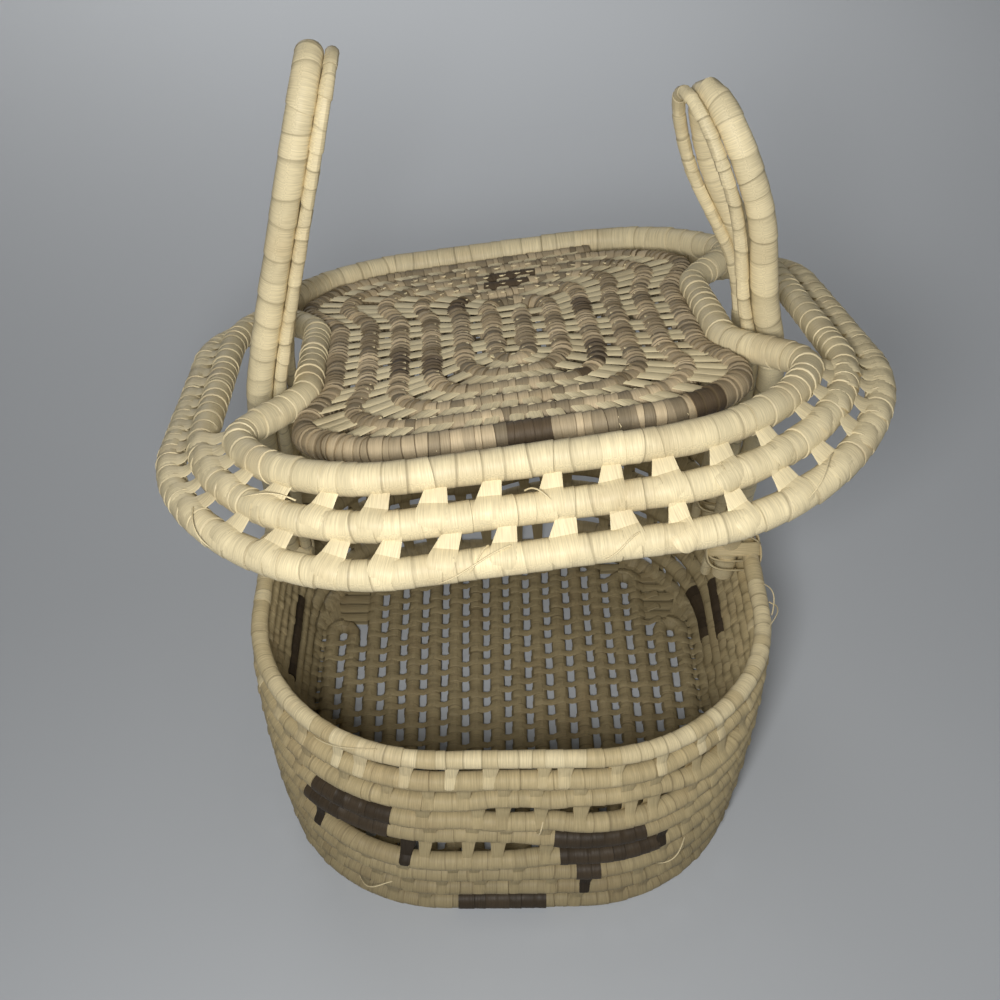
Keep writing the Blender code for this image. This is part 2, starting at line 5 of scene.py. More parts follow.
import bpy
import numpy as np
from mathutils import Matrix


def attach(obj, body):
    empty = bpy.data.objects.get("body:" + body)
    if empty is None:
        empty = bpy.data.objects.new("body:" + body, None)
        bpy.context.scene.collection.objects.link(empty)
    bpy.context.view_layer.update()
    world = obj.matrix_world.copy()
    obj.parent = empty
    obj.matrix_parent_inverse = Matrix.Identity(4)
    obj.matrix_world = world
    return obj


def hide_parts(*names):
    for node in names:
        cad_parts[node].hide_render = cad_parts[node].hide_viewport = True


bl_info = {
    "name": "Coiled pie basket",
    "version": (1, 0, 0),
    "blender": (4, 5, 0),
    "location": "3D View > Sidebar > Basket",
    "description": "Wraps and stitches the rows of a coiled basket with a sliding lid",
    "category": "Object",
}

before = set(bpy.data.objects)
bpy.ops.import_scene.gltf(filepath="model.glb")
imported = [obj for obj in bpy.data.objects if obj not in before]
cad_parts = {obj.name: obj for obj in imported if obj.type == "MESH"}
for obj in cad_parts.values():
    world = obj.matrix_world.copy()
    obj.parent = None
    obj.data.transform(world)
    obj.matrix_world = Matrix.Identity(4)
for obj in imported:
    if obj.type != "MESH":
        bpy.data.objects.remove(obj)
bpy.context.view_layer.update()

# Places and sizes shared with the solids, in metres
# An outline, such as the mouth's, is its half width, half depth and corner radius
MIDDLE_X = -0.00675
MOUTH = (0.1350, 0.1470, 0.0990)
BASE = (0.1274, 0.1395, 0.0913)
RIM_HEIGHT = 0.1411
WALL_BULGE = 0.0027
WALL_LOOPS = 7
WALL_COIL = 0.0101
BASE_COIL = 0.0088
EDGE_HEIGHT = 0.00404
BASE_HEIGHT = 0.00352
WALL_PITCH = (RIM_HEIGHT - EDGE_HEIGHT) / (WALL_LOOPS + 1)
BASE_RUNS = 18
BASE_PITCH = 0.0135
RUN_INSET = 0.01075
PANEL_COIL = 0.0118
PANEL_LOOPS = 6
PANEL_PITCH = 0.0192
PANEL_FRONT = (0.0270, 0.0155)
PANEL_BACK = (0.0500, 0.0140)
PANEL_CORNER = 0.55
PANEL_LEAST_CORNER = 0.0216
PANEL_SINK = 0.0047
PANEL_SQUEEZE = 0.2035
RIDGE = (0.1269, 0.1411, 0.0810)
RIDGE_COIL = 0.0134
RIDGE_SQUEEZE = 0.243
FIRST_SKIRT = (0.1431, 0.1512, 0.0945)
LAST_SKIRT = (0.1582, 0.1607, 0.1040)
SKIRT_COIL = 0.0138
SKIRT_LOOPS = 2
SKIRT_DROP = (0.0068, 0.0159)
SLOT = (0.0028, 0.0370, 0.0540)
LID_PLACE = np.array((MIDDLE_X - 0.0007, -0.0142, 0.2973))
LID_TURN = tuple(math.radians(angle) for angle in (2.64, -16.33, -5.84))
CLEARANCE = 0.0003
STRAND = 0.0122
THIN_STRAND = 0.0057
THIN_INSET = (STRAND + THIN_STRAND) / 2.0 + CLEARANCE
FOOT_DEPTH = 0.0236
FOOT_MIDDLE = 0.0209
FOOT_HALF_GAP = 0.0236
LEAN_HEIGHT = 0.2970
LEAN_MIDDLE = -0.0182
ARCH_RISE = 0.0420
ARCH_HALF_GAP = 0.0205
KNEE_SOFTNESS = 0.0202

# Each handle: side, height of its knee, slope of its lean, height and middle of its top, and twist there
HANDLES = {
    "left": (-1, 0.2770, 0.238, 0.4388, -0.0095, 0.0),
    "right": (1, 0.3080, 0.340, 0.4253, -0.0196, 0.38),
}
TWIST_START = 0.3250
TWIST_FULL = 0.3850

# How much slimmer than their solids the rows are that meet when the lid is closed
SEAT_EASE = 0.0005

# Stations round a loop, the one where the back straight begins, on which a coil climbs, and the rim's row
LOOP = 8.0
BACK = 7.0
RIM_ROW = WALL_LOOPS + 1.0

# Dyed stretches of the wall: node, row, middle and half length as shares of a loop
DYED_ROWS = (
    ("dyed_front_left_upper", 5, 0.552, 0.024),
    ("dyed_front_left_lower", 4, 0.559, 0.027),
    ("dyed_front_right_upper", 4, 0.415, 0.025),
    ("dyed_front_right_lower", 3, 0.408, 0.028),
    ("dyed_front_small", 2, 0.419, 0.007),
    ("dyed_front_foot", 0, 0.467, 0.027),
    ("dyed_right_upper", 3, 0.180, 0.024),
    ("dyed_right_lower", 1, 0.150, 0.024),
    ("dyed_left_wall", 3, 0.722, 0.034),
)

# How far a dyed stretch stands over its row, and the share of a loop that stitches keep from it
DYED_RISE = 0.00055
DYE_MARGIN = 0.002

# Gaps of the wall that stand open: the row under each, its station, half length in stations and shift
SAGS = (
    (3.0, 3.87, 0.60, 0.0030),
    (5.0, 3.52, 0.24, 0.0016),
    (5.0, 2.93, 0.26, 0.0019),
    (6.0, 2.55, 0.16, 0.0017),
)

# Dark stitches of the wall: the row under the stitch, and its share of a loop
DYED_STITCHES = ((3, 0.576), (3, 0.520), (3, 0.378), (1, 0.419))

X, Y, Z = np.eye(3)
MIRROR = np.array((-1.0, 1.0, 1.0))


def soft_step(share):
    """Zero to one with level ends: three times the square less twice the cube."""
    share = np.clip(share, 0.0, 1.0)
    return share * share * (3.0 - 2.0 * share)


def unit(vectors):
    """Vectors brought to length one."""
    return vectors / np.maximum(np.linalg.norm(vectors, axis=-1, keepdims=True), 1e-12)


def columns(*parts):
    """Numbers or arrays brought to one shape and set side by side, such as the x, y and z of places."""
    return np.stack(np.broadcast_arrays(*parts), -1)


def outline_lengths(half_width, half_depth, radius):
    """Lengths of a rounded rectangle's eight pieces, corner and straight in turn, from the back right."""
    arc = math.pi * radius / 2.0
    return np.array((arc, 2.0 * (half_depth - radius), arc, 2.0 * (half_width - radius)) * 2)


def outline_at(half_width, half_depth, radius, station):
    """A rounded rectangle: a station's whole part is the piece, its rest the share of that piece run."""
    station = np.mod(np.asarray(station, float), LOOP)
    piece = np.minimum(station.astype(int), 7)
    share = station - piece
    quarter = piece // 2
    corner = piece % 2 == 0
    side = np.array((1.0, 1.0, -1.0, -1.0))[quarter]
    end = np.array((1.0, -1.0, -1.0, 1.0))[quarter]
    angle = math.pi / 2.0 * (1.0 - quarter - np.where(corner, share, 1.0))
    across, along = np.cos(angle), np.sin(angle)
    run = np.where(piece % 4 == 1, 2.0 * (half_depth - radius), 2.0 * (half_width - radius))
    run = np.where(corner, 0.0, run * share)
    x = side * (half_width - radius) + radius * across + along * run
    y = end * (half_depth - radius) + radius * along - across * run
    return columns(x, y), columns(across, along)


def station_of(outline, share):
    """The station at a share of an outline's length."""
    ends = np.concatenate(([0.0], np.cumsum(outline_lengths(*outline))))
    return np.interp(np.mod(share, 1.0) * ends[-1], ends, np.arange(LOOP + 1.0))


def share_of(outline, station):
    """The share of an outline's length at a station."""
    ends = np.concatenate(([0.0], np.cumsum(outline_lengths(*outline))))
    return np.interp(station, np.arange(LOOP + 1.0), ends) / ends[-1]


def wall_outline(row):
    """The wall's rounded rectangle at a row: base to mouth in a straight line, plus a parabolic bulge."""
    share = np.asarray(row, float) / RIM_ROW
    swell = WALL_BULGE * 4.0 * share * (1.0 - share)
    return tuple(low + (high - low) * share + swell for low, high in zip(BASE, MOUTH))


def wall_at(row, station):
    """The middle of a wall row at a station; row 0 is the floor's edge and row 8 the rim.

    A few gaps of the front stand open: the row under each sags down and out, the row over it is drawn
    up and in, by a bell along the row times a bell over the rows.
    """
    row, station = np.broadcast_arrays(np.asarray(row, float), np.asarray(station, float))
    place, normal = outline_at(*wall_outline(row), station)
    rise = EDGE_HEIGHT + WALL_PITCH * row
    for low, middle, half, shift in SAGS:
        along = np.exp(-(((station - middle) / half) ** 4))
        under = np.exp(-(((row - low) / 0.75) ** 2))
        over = np.exp(-(((row - low - 1.0) / 0.75) ** 2))
        push = shift * along * (over - under)
        place = place - push[..., None] * normal
        rise = rise + 0.7 * push
    return columns(place[..., 0], place[..., 1], rise)


def climb(station):
    """How far a spiral row has risen towards the next one: all of it on the back straight."""
    return soft_step(np.mod(station, LOOP) - BACK)


def wall_line(count=6000):
    """The wall's seven rows as one climbing line."""
    turn = np.linspace(0.0, LOOP * (WALL_LOOPS - 1.0) + BACK, count)
    return wall_at(1.0 + np.floor(turn / LOOP) + climb(turn), np.mod(turn, LOOP))


def ring_line(row, count=1200):
    """A wall row that closes on itself."""
    return wall_at(row, np.linspace(0.0, LOOP, count, endpoint=False))


def run_places():
    """Each floor run's x, and how far its straight reaches before the bend."""
    x = (np.arange(BASE_RUNS) - (BASE_RUNS - 1) / 2.0) * BASE_PITCH
    radius = BASE[2] - RUN_INSET
    past = np.maximum(np.abs(x) - (BASE[0] - RUN_INSET - radius), 0.0)
    limit = BASE[1] - RUN_INSET - radius + np.sqrt(np.maximum(radius**2 - past**2, 0.0))
    return x, limit, np.minimum(limit[:-1], limit[1:]) - BASE_PITCH / 2.0


def floor_line():
    """The floor's one cord: straight runs joined by half circles, at the back and the front in turn."""
    x, limit, bend = run_places()
    arc = np.linspace(0.0, math.pi, 13)
    parts = []
    for index in range(BASE_RUNS):
        end = 1.0 if index % 2 == 0 else -1.0
        begin = bend[index - 1] if index else limit[0]
        reach = bend[index] if index < BASE_RUNS - 1 else limit[index]
        run = np.linspace(-end * begin, end * reach, 60)
        if index < BASE_RUNS - 1:
            run = run[:-1]
        parts.append(columns(x[index], run, BASE_HEIGHT))
        if index < BASE_RUNS - 1:
            middle = x[index] + BASE_PITCH / 2.0
            turn_x = middle - BASE_PITCH / 2.0 * np.cos(arc)
            turn_y = end * (bend[index] + BASE_PITCH / 2.0 * np.sin(arc))
            parts.append(columns(turn_x, turn_y, BASE_HEIGHT)[:-1])
    return np.concatenate(parts)


def squeeze(y):
    """One between the slots, falling softly to nothing past their ends."""
    return 1.0 - soft_step((np.abs(y - SLOT[0]) - SLOT[1]) / SLOT[2])


def panel_outline(level):
    """The panel's rounded rectangle at a fractional row, a pitch wider each row, and its middle's y."""
    half_width = PANEL_PITCH * (level + 0.5)
    front = PANEL_FRONT[0] + PANEL_FRONT[1] * level
    back = PANEL_BACK[0] + PANEL_BACK[1] * level
    radius = np.maximum(np.minimum(half_width, PANEL_LEAST_CORNER), PANEL_CORNER * half_width)
    return (half_width, (front + back) / 2.0, radius), (back - front) / 2.0


def panel_at(level, station):
    """The lid panel at a fractional row: its outline there, drawn in at the slots."""
    outline, middle = panel_outline(level)
    place, _ = outline_at(*outline, station)
    y = place[..., 1] + middle
    x = place[..., 0] * (1.0 - PANEL_SQUEEZE * squeeze(y))
    return columns(x, y, -PANEL_SINK)


def panel_level(loop, station):
    """The row steps out by one steadily round the head of the middle strip."""
    head = PANEL_BACK[0] - PANEL_PITCH / 2.0
    base = np.where(station < 1.0, loop - 1.0, loop)
    rising = (station < 1.0) | (station > 5.0)
    level = np.asarray(loop, float)
    for _ in range(10):
        place = panel_at(level, station)
        turned = np.arctan2(np.maximum(place[..., 1] - head, 0.0), -place[..., 0]) / math.pi
        level = base + np.where(rising, turned, 0.0)
    return level


def panel_line(count=6000):
    """The panel's loops as one line that winds outwards."""
    turn = np.linspace(1.0, LOOP * PANEL_LOOPS - 1e-6, count)
    loop, station = np.floor(turn / LOOP), np.mod(turn, LOOP)
    return panel_at(panel_level(loop, station), station)


def ridge_at(station):
    """The ridge: a rounded rectangle drawn in at the slots."""
    place, _ = outline_at(*RIDGE, station)
    x = place[..., 0] * (1.0 - RIDGE_SQUEEZE * squeeze(place[..., 1]))
    return columns(x, place[..., 1], 0.0)


def skirt_at(level, station):
    """The skirt at a row: minus one is the ridge unsqueezed, 0 and 1 its rows; it drops by the normal."""
    level, station = np.broadcast_arrays(np.asarray(level, float), np.asarray(station, float))
    inner = [low + (high - low) * (level + 1.0) for low, high in zip(RIDGE, FIRST_SKIRT)]
    outer = [low + (high - low) * level for low, high in zip(FIRST_SKIRT, LAST_SKIRT)]
    outline = [np.where(level < 0.0, one, two) for one, two in zip(inner, outer)]
    place, normal = outline_at(*outline, station)
    drop = SKIRT_DROP[0] * normal[..., 0] ** 2 + SKIRT_DROP[1] * normal[..., 1] ** 2
    return columns(place[..., 0], place[..., 1], -drop * (1.0 + level))


def skirt_line(count=3000):
    """The skirt's rows as one climbing line."""
    turn = np.linspace(0.0, LOOP * (SKIRT_LOOPS - 1.0) + BACK, count)
    return skirt_at(np.floor(turn / LOOP) + climb(turn), np.mod(turn, LOOP))


def handle_line(side, knee, slope, top, top_middle, twist, inset, count=160):
    """A hairpin: two legs that lean in past a soft knee, joined by half an ellipse, its top twisted."""
    low, arch = RIM_HEIGHT - FOOT_DEPTH, top - ARCH_RISE
    rise = np.linspace(low, arch, count)
    angle = np.linspace(0.0, math.pi, 61)[1:-1]
    height = np.concatenate((rise, arch + ARCH_RISE * np.sin(angle), rise[::-1]))
    above = height - knee
    lean = (np.sqrt(above**2 + KNEE_SOFTNESS**2) + above) / 2.0
    upright = MOUTH[0] - (WALL_COIL + STRAND) / 2.0 - CLEARANCE
    twist = twist * soft_step((height - TWIST_START) / (TWIST_FULL - TWIST_START))
    inward = inset * math.hypot(1.0, slope) * np.hypot(1.0, twist)
    share = np.clip((height - RIM_HEIGHT) / (LEAN_HEIGHT - RIM_HEIGHT), None, 1.0)
    past = np.clip((height - LEAN_HEIGHT) / (top - LEAN_HEIGHT), 0.0, 1.0)
    middle = FOOT_MIDDLE + (LEAN_MIDDLE - FOOT_MIDDLE) * share + (top_middle - LEAN_MIDDLE) * past
    narrow = soft_step((height - RIM_HEIGHT) / (arch - RIM_HEIGHT))
    gap = FOOT_HALF_GAP + (ARCH_HALF_GAP - FOOT_HALF_GAP) * narrow
    away = np.concatenate((-np.ones(count), -np.cos(angle), np.ones(count)))
    away[count:-count] *= ARCH_HALF_GAP / gap[count:-count]
    x = side * (upright - slope * lean - inward - twist * away * gap)
    return columns(x, middle + away * gap, height)


class Line:
    """A line through close points, read by the length run along it."""

    def __init__(self, points, closed=False):
        points = np.asarray(points, float)
        self.closed = closed
        if closed:
            points = np.concatenate((points, points[:1]))
        steps = np.linalg.norm(np.diff(points, axis=0), axis=1)
        self.run = np.concatenate(([0.0], np.cumsum(steps)))
        self.points = points
        self.length = self.run[-1]

    def on(self, run):
        """The place at a length between the line's ends."""
        return columns(*(np.interp(run, self.run, axis) for axis in self.points.T))

    def at(self, run):
        """The place at a length along the line; an open line goes straight on past its ends."""
        run = np.asarray(run, float)
        if self.closed:
            return self.on(np.mod(run, self.length))
        place = self.on(np.clip(run, 0.0, self.length))
        first = unit(self.points[1] - self.points[0])
        last = unit(self.points[-1] - self.points[-2])
        before = np.minimum(run, 0.0)[..., None] * first
        after = np.maximum(run - self.length, 0.0)[..., None] * last
        return place + before + after

    def heading(self, run, reach=0.0015):
        """Which way the line runs at a length along it."""
        return unit(self.at(np.asarray(run) + reach) - self.at(np.asarray(run) - reach))

    def across(self, run, up):
        """Two directions square to the line, the first of them square to up as well."""
        heading = self.heading(run)
        outward = unit(np.cross(up, heading))
        return outward, np.cross(heading, outward)

    def nearest(self, place):
        """The length along the line at its point nearest to a place."""
        return self.run[np.argmin(np.linalg.norm(self.points - place, axis=1))]


def wrap_edges(length, width, spread, rng):
    """Where each leaf wrap begins: widths drawn about a mean, then scaled to fill the length."""
    count = max(int(round(length / width)), 2)
    widths = np.clip(1.0 + spread * rng.standard_normal(count), 0.45, 1.8)
    edges = np.concatenate(([0.0], np.cumsum(widths)))
    return edges * length / edges[-1]


# The rings of one wrap as shares of its width, and the share of its lap that each still stands up
WRAP_SHARES = np.array((0.0, 0.07, 0.50, 0.955))
WRAP_FALLS = np.array((1.0, 0.97, 0.60, 0.03))

# How much the wraps differ in thickness, and how far a wrap is out of round
SWELL = 0.00006
WAVE = 0.00005

# Which side of the row the wraps' tilt faces, and how far that differs, in radians
TILT_TURN = 1.2
TILT_SPREAD = 0.7


def wrapped_rows(line, radius, leaf, rng, up=Z, sides=16, span=None):
    """A tube along a line whose radius drops by a leaf's thickness over each wrap and steps up at the next.

    Ring i of wrap k lies at the wrap's start plus a fixed share of its width, tilted by a cosine of the
    angle round the row. The radius there is the row's own plus a falling share of the lap. Bold wraps lap
    more where the row runs front to back, and all have their edge to the front. The facts of a vertex are
    the wrap's tone, how far along the wrap it lies, whether it is dyed (at the panel's front also painted
    shadow), and how dark the painted shadow and dirt at its lapped end are.
    """
    begin, end = span or (0.0, line.length)
    closed = line.closed and span is None
    edges = begin + wrap_edges(end - begin, leaf["width"], leaf["spread"], rng)
    count = len(edges) - 1
    angle = np.linspace(0.0, 2.0 * math.pi, sides, endpoint=False)
    skew = leaf["skew"] * rng.uniform(-1.0, 1.0, count + 1)
    turn = TILT_TURN + TILT_SPREAD * rng.standard_normal(count + 1)
    if closed:
        skew[-1], turn[-1] = skew[0], turn[0]
    else:
        skew[0] = skew[-1] = 0.0
    middle_run = (edges[:-1] + edges[1:]) / 2.0
    sideways = line.heading(middle_run)[:, 1]
    flip = (sideways < -0.2)[:, None] & (leaf["bold"] > 0.0)
    share = np.where(flip, 1.0 - WRAP_SHARES[::-1], WRAP_SHARES)
    fall = np.where(flip, WRAP_FALLS[::-1], WRAP_FALLS)
    gone = np.where(flip, 1.0 - share, share)
    # Painted shadow: a wrap's first ring, the lip, takes the dark value of a lap's end, so the step face
    # between wraps is shaded
    gone = np.where(gone < 1e-6, 0.94, gone)
    lap = leaf["lap"] * rng.uniform(0.65, 1.35, count)
    lap = lap * (1.0 + leaf["bold"] * soft_step((np.abs(sideways) - 0.15) / 0.5))
    swell = SWELL * rng.standard_normal(count)
    width = np.diff(edges)
    run = edges[:-1, None] + width[:, None] * share
    tilt_now = skew[:-1, None, None] * np.cos(angle - turn[:-1, None, None])
    tilt_next = skew[1:, None, None] * np.cos(angle - turn[1:, None, None])
    tilt = tilt_now + (tilt_next - tilt_now) * share[..., None]
    run = run[..., None] + tilt
    lifted = 1.0 + leaf["lift"] * np.maximum(np.sin(angle), 0.0) ** 2
    rise = swell[:, None, None] + lap[:, None, None] * fall[..., None] * lifted
    wave = WAVE * np.sin(3.0 * angle + rng.uniform(0.0, 6.28, (count, 1, 1)))
    reach = radius + rise + wave
    run = run.reshape(-1, sides)
    reach = reach.reshape(-1, sides)
    outward, above = line.across(run, up)
    place = line.at(run) + reach[..., None] * (
        np.cos(angle)[None, :, None] * outward + np.sin(angle)[None, :, None] * above
    )
    rings = share.shape[1]
    facts = np.zeros((count * rings, sides, 4))
    facts[..., 0] = np.repeat(rng.uniform(0.0, 1.0, count), rings)[:, None]
    facts[..., 1] = gone.reshape(-1, 1)
    facts[..., 3] = np.repeat(rng.uniform(0.0, 1.0, count), rings)[:, None]
    wound = columns(run, angle * radius)
    rows = {"grid": place, "facts": facts, "wound": wound, "closed": closed}
    rows.update({"middles": line.at(middle_run), "rings": rings})
    return rows


def grid_faces(rows, sides, closed):
    """Quads of a grid that is closed round each ring, and along the rows where the line is closed."""
    row = np.arange(rows if closed else rows - 1)
    side = np.arange(sides)
    here = row[:, None] * sides + side
    beside = row[:, None] * sides + (side + 1) % sides
    after = ((row + 1) % rows)[:, None] * sides
    return columns(here, beside, after + (side + 1) % sides, after + side).reshape(-1, 4)


def new_piece(name, places, quads, triangles, facts, wound, look, sharp=32.0):
    """Puts whole arrays of places, faces and per-vertex facts into one mesh object."""
    mesh = bpy.data.meshes.new(name)
    mesh.vertices.add(len(places))
    mesh.vertices.foreach_set("co", places.astype(np.float32).ravel())
    loops = np.concatenate((quads.ravel(), triangles.ravel()))
    mesh.loops.add(len(loops))
    mesh.loops.foreach_set("vertex_index", loops.astype(np.int32))
    starts = np.concatenate((np.arange(len(quads)) * 4, 4 * len(quads) + np.arange(len(triangles)) * 3))
    mesh.polygons.add(len(starts))
    mesh.polygons.foreach_set("loop_start", starts.astype(np.int32))
    mesh.update(calc_edges=True)
    mesh.shade_smooth()
    mesh.set_sharp_from_angle(angle=math.radians(sharp))
    leaf = mesh.attributes.new("leaf", "FLOAT_COLOR", "POINT")
    leaf.data.foreach_set("color", facts.astype(np.float32).ravel())
    layer = mesh.uv_layers.new(name="wound")
    layer.data.foreach_set("uv", wound[loops].astype(np.float32).ravel())
    obj = bpy.data.objects.new(name, mesh)
    bpy.context.scene.collection.objects.link(obj)
    mesh.materials.append(look)
    return obj


def capped(rows):
    """The mesh arrays of a tube; the ends of an open one are drawn shut to a point in their middle."""
    grid, facts, wound = rows["grid"], rows["facts"], rows["wound"]
    count, sides = grid.shape[:2]
    quads = grid_faces(count, sides, rows["closed"])
    places = grid.reshape(-1, 3)
    facts = facts.reshape(-1, 4)
    wound = wound.reshape(-1, 2)
    if rows["closed"]:
        return places, quads, np.zeros((0, 3), int), facts, wound
    tips = np.stack((grid[0].mean(0), grid[-1].mean(0)))
    side = np.arange(sides)
    first = len(places)
    start = columns(first, (side + 1) % sides, side)
    last = (count - 1) * sides
    stop = columns(first + 1, last + side, last + (side + 1) % sides)
    places = np.concatenate((places, tips))
    facts = np.concatenate((facts, facts[[0, -1]]))
    wound = np.concatenate((wound, wound[[0, -1]]))
    return places, quads, np.concatenate((start, stop)), facts, wound


# A strap's cross section: place across, share of its height, and how much of its thickness lies over it
STRAP = np.array(
    (
        (1.0, 0.97, 0.35),
        (0.85, 1.0, 0.0),
        (0.0, 1.02, 0.0),
        (-0.85, 1.0, 0.0),
        (-1.0, 0.97, 0.35),
        (-0.85, 0.97, 1.0),
        (0.0, 0.98, 1.0),
        (0.85, 0.97, 1.0),
    )
)


def stitch_grid(upper, lower, heading, outward, shape, rng):
    """Stitches between two rows, each a thin strap over both rows and, where asked for, one under them.

    Along the way from row to row the strap's height follows the upper row's circle, then the waist, then
    the lower row's circle down to a half-round tip; a ring of eight points gives its two faces and edges.
    """
    count = len(upper)
    way = lower - upper
    reach = np.linalg.norm(way, axis=1)[:, None]
    way = way / reach
    heading = unit(heading - (heading * way).sum(1, keepdims=True) * way)
    face = np.cross(heading, way)
    face *= np.sign((face * outward).sum(1, keepdims=True))
    top, bottom, leaf = shape["upper"], shape["lower"], shape["leaf"]
    begin = shape["start"] * (top + leaf)
    finish = reach + bottom * shape["tip"]
    share = (1.0 - np.cos(np.linspace(0.0, math.pi, shape["steps"]))) / 2.0
    share = share * 0.55 + np.linspace(0.0, 1.0, shape["steps"]) * 0.45
    along = begin + (finish - begin) * share
    over = np.sqrt(np.maximum((top + leaf) ** 2 - along**2, 0.0))
    fade = soft_step((along - reach) / (finish - reach))
    under = np.sqrt(np.maximum((bottom + leaf * (1.0 - 1.6 * fade)) ** 2 - (along - reach) ** 2, 0.0))
    waist = shape["waist"] * min(top, bottom) * (along > 0.0) * (along < reach)
    height = np.maximum(np.maximum(over, under), waist)
    height = height - shape["dive"] * (1.0 - soft_step((along - begin) / (0.30 * reach)))
    middle = np.exp(-(((along - (top + reach - bottom) / 2.0) / (0.45 * reach)) ** 2))
    wide = shape["width"] * rng.uniform(0.88, 1.12, (count, 1)) / 2.0
    wide = wide * (1.0 + (shape["spread"] - 1.0) * soft_step(along / reach))
    tip = np.clip((along - (reach - 0.25 * bottom)) / (finish - reach + 0.25 * bottom), 0.0, 1.0)
    half = wide * (1.0 - shape["pinch"] * middle) * np.sqrt(1.0 - 0.96 * tip**2)
    half = half * np.where(share < 1e-6, 0.96, 1.0)
    slant = shape["slant"] * (1.0 + 0.35 * rng.standard_normal((count, 1))) * soft_step(along / reach)
    edge = np.minimum(shape["thick"], 0.9 * height)[..., None]
    layers = []
    for side in (1.0, -1.0)[: shape["layers"]]:
        ring = STRAP if side > 0.0 else STRAP[::-1]
        across = half[..., None] * ring[:, 0] + slant[..., None]
        deep = side * (height[..., None] * ring[:, 1] - edge * ring[:, 2])
        place = (
            upper[:, None, None]
            + along[..., None, None] * way[:, None, None]
            + across[..., None] * heading[:, None, None]
            + deep[..., None] * face[:, None, None]
        )
        layers.append((place, columns(across, along[..., None])))
    place, wound = (np.concatenate(arrays) for arrays in zip(*layers))
    facts = np.zeros((*place.shape[:3], 4))
    count = len(place)
    facts[..., 0] = rng.uniform(0.0, 1.0, (count, 1, 1))
    facts[..., 1] = 0.25
    facts[..., 3] = rng.uniform(0.0, 1.0, (count, 1, 1))
    wound = wound + rng.uniform(0.0, 9.0, (count, 1, 1, 1))
    return place, facts, wound


def stitched_mesh(place, facts, wound):
    """One mesh from many stitches: the same grid of faces again for each, with its ends drawn shut."""
    count, steps, sides = place.shape[:3]
    each = steps * sides
    quads = (grid_faces(steps, sides, False)[None] + np.arange(count)[:, None, None] * each).reshape(-1, 4)
    side = np.arange(sides)
    tips = np.stack((place[:, 0].mean(1), place[:, -1].mean(1)), 1).reshape(-1, 3)
    first = count * each + 2 * np.arange(count)[:, None]
    block = np.arange(count)[:, None] * each
    start = columns(first, block + (side + 1) % sides, block + side)
    last = block + (steps - 1) * sides
    stop = columns(first + 1, last + side, last + (side + 1) % sides)
    tip_facts = np.stack((facts[:, 0, 0], facts[:, -1, 0]), 1).reshape(-1, 4)
    tip_wound = np.stack((wound[:, 0, 0], wound[:, -1, 0]), 1).reshape(-1, 2)
    return (
        np.concatenate((place.reshape(-1, 3), tips)),
        quads,
        np.concatenate((start.reshape(-1, 3), stop.reshape(-1, 3))),
        np.concatenate((facts.reshape(-1, 4), tip_facts)),
        np.concatenate((wound.reshape(-1, 2), tip_wound)),
    )


def stitches(*measures):
    """The mesh arrays of stitches; the measures are those of stitch_grid."""
    return stitched_mesh(*stitch_grid(*measures))


def right_way_out(places, quads, triangles):
    """Turns every face over where the whole surface would point inwards, by the sign of its volume."""
    volume = 0.0
    for faces in (quads[:, :3], quads[:, (0, 2, 3)], triangles):
        corner = places[faces]
        volume += (corner[:, 0] * np.cross(corner[:, 1], corner[:, 2])).sum()
    if volume < 0.0:
        return quads[:, ::-1].copy(), triangles[:, ::-1].copy()
    return quads, triangles


def turn_about(axis, angle):
    """The matrix of a turn about x, y or z."""
    turn = np.eye(3)
    one, two = (axis + 1) % 3, (axis + 2) % 3
    turn[one, one] = turn[two, two] = math.cos(angle)
    turn[two, one] = math.sin(angle)
    turn[one, two] = -math.sin(angle)
    return turn


def lid_to_world(places):
    """The lid's own frame to the shared one: a turn about y, then x, then z, and a move."""
    yaw, pitch, roll = LID_TURN
    return LID_PLACE + places @ (turn_about(2, yaw) @ turn_about(0, pitch) @ turn_about(1, roll)).T


def body_to_world(places):
    """The body's own frame to the shared one: a move."""
    return places + np.array((MIDDLE_X, 0.0, 0.0))


TO_WORLD = {"basket": body_to_world, "lid": lid_to_world, "lid_carrier": lid_to_world}


def dress(name, parts, look, body, nodes, ground=False):
    """Makes one finished piece from its arrays, sets it on its body and hides the solid it stands for."""
    places, quads, triangles, facts, wound = parts
    places = TO_WORLD[body](places)
    if ground:
        places[:, 2] = np.maximum(places[:, 2], 0.0)
    quads, triangles = right_way_out(places, quads, triangles)
    obj = new_piece(name, places, quads, triangles, facts, wound, looks()[look])
    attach(obj, body)
    if nodes:
        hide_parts(*nodes)


def joined(parts):
    """Several sets of arrays as one set."""
    first = np.cumsum([0] + [len(part[0]) for part in parts])
    moved = [(part[0], part[1] + count, part[2] + count, *part[3:]) for part, count in zip(parts, first)]
    return tuple(np.concatenate(arrays) for arrays in zip(*moved))


def leaf_wraps(sizes, lap, width=None, lift=0.0, skew=0.0009, bold=0.0):
    """A row's wraps: lap, mean width, how much more they lap on top, how far they slant, and boldness."""
    width = width or sizes.wrap_width
    return {"width": width, "spread": sizes.unevenness, "lap": lap, "lift": lift, "skew": skew, "bold": bold}


def stitch_shape(sizes, upper, lower, width, **changes):
    """A stitch's sizes in metres, and shares for its start, spread, narrowing, waist and tip."""
    shape = {
        "upper": upper,
        "lower": lower,
        "leaf": sizes.leaf_thickness * 1.2,
        "width": width,
        "start": -1.0,
        "spread": 1.0,
        "pinch": 0.30,
        "waist": 0.55,
        "slant": 0.0,
        "dive": 0.0,
        "tip": 0.55,
        "steps": 12,
        "thick": 0.0005,
        "layers": 2,
    }
    shape.update(changes)
    return shape


# Thickness of the leaf on the stitches that meet when the lid is closed
SEAT_LEAF = 0.0003

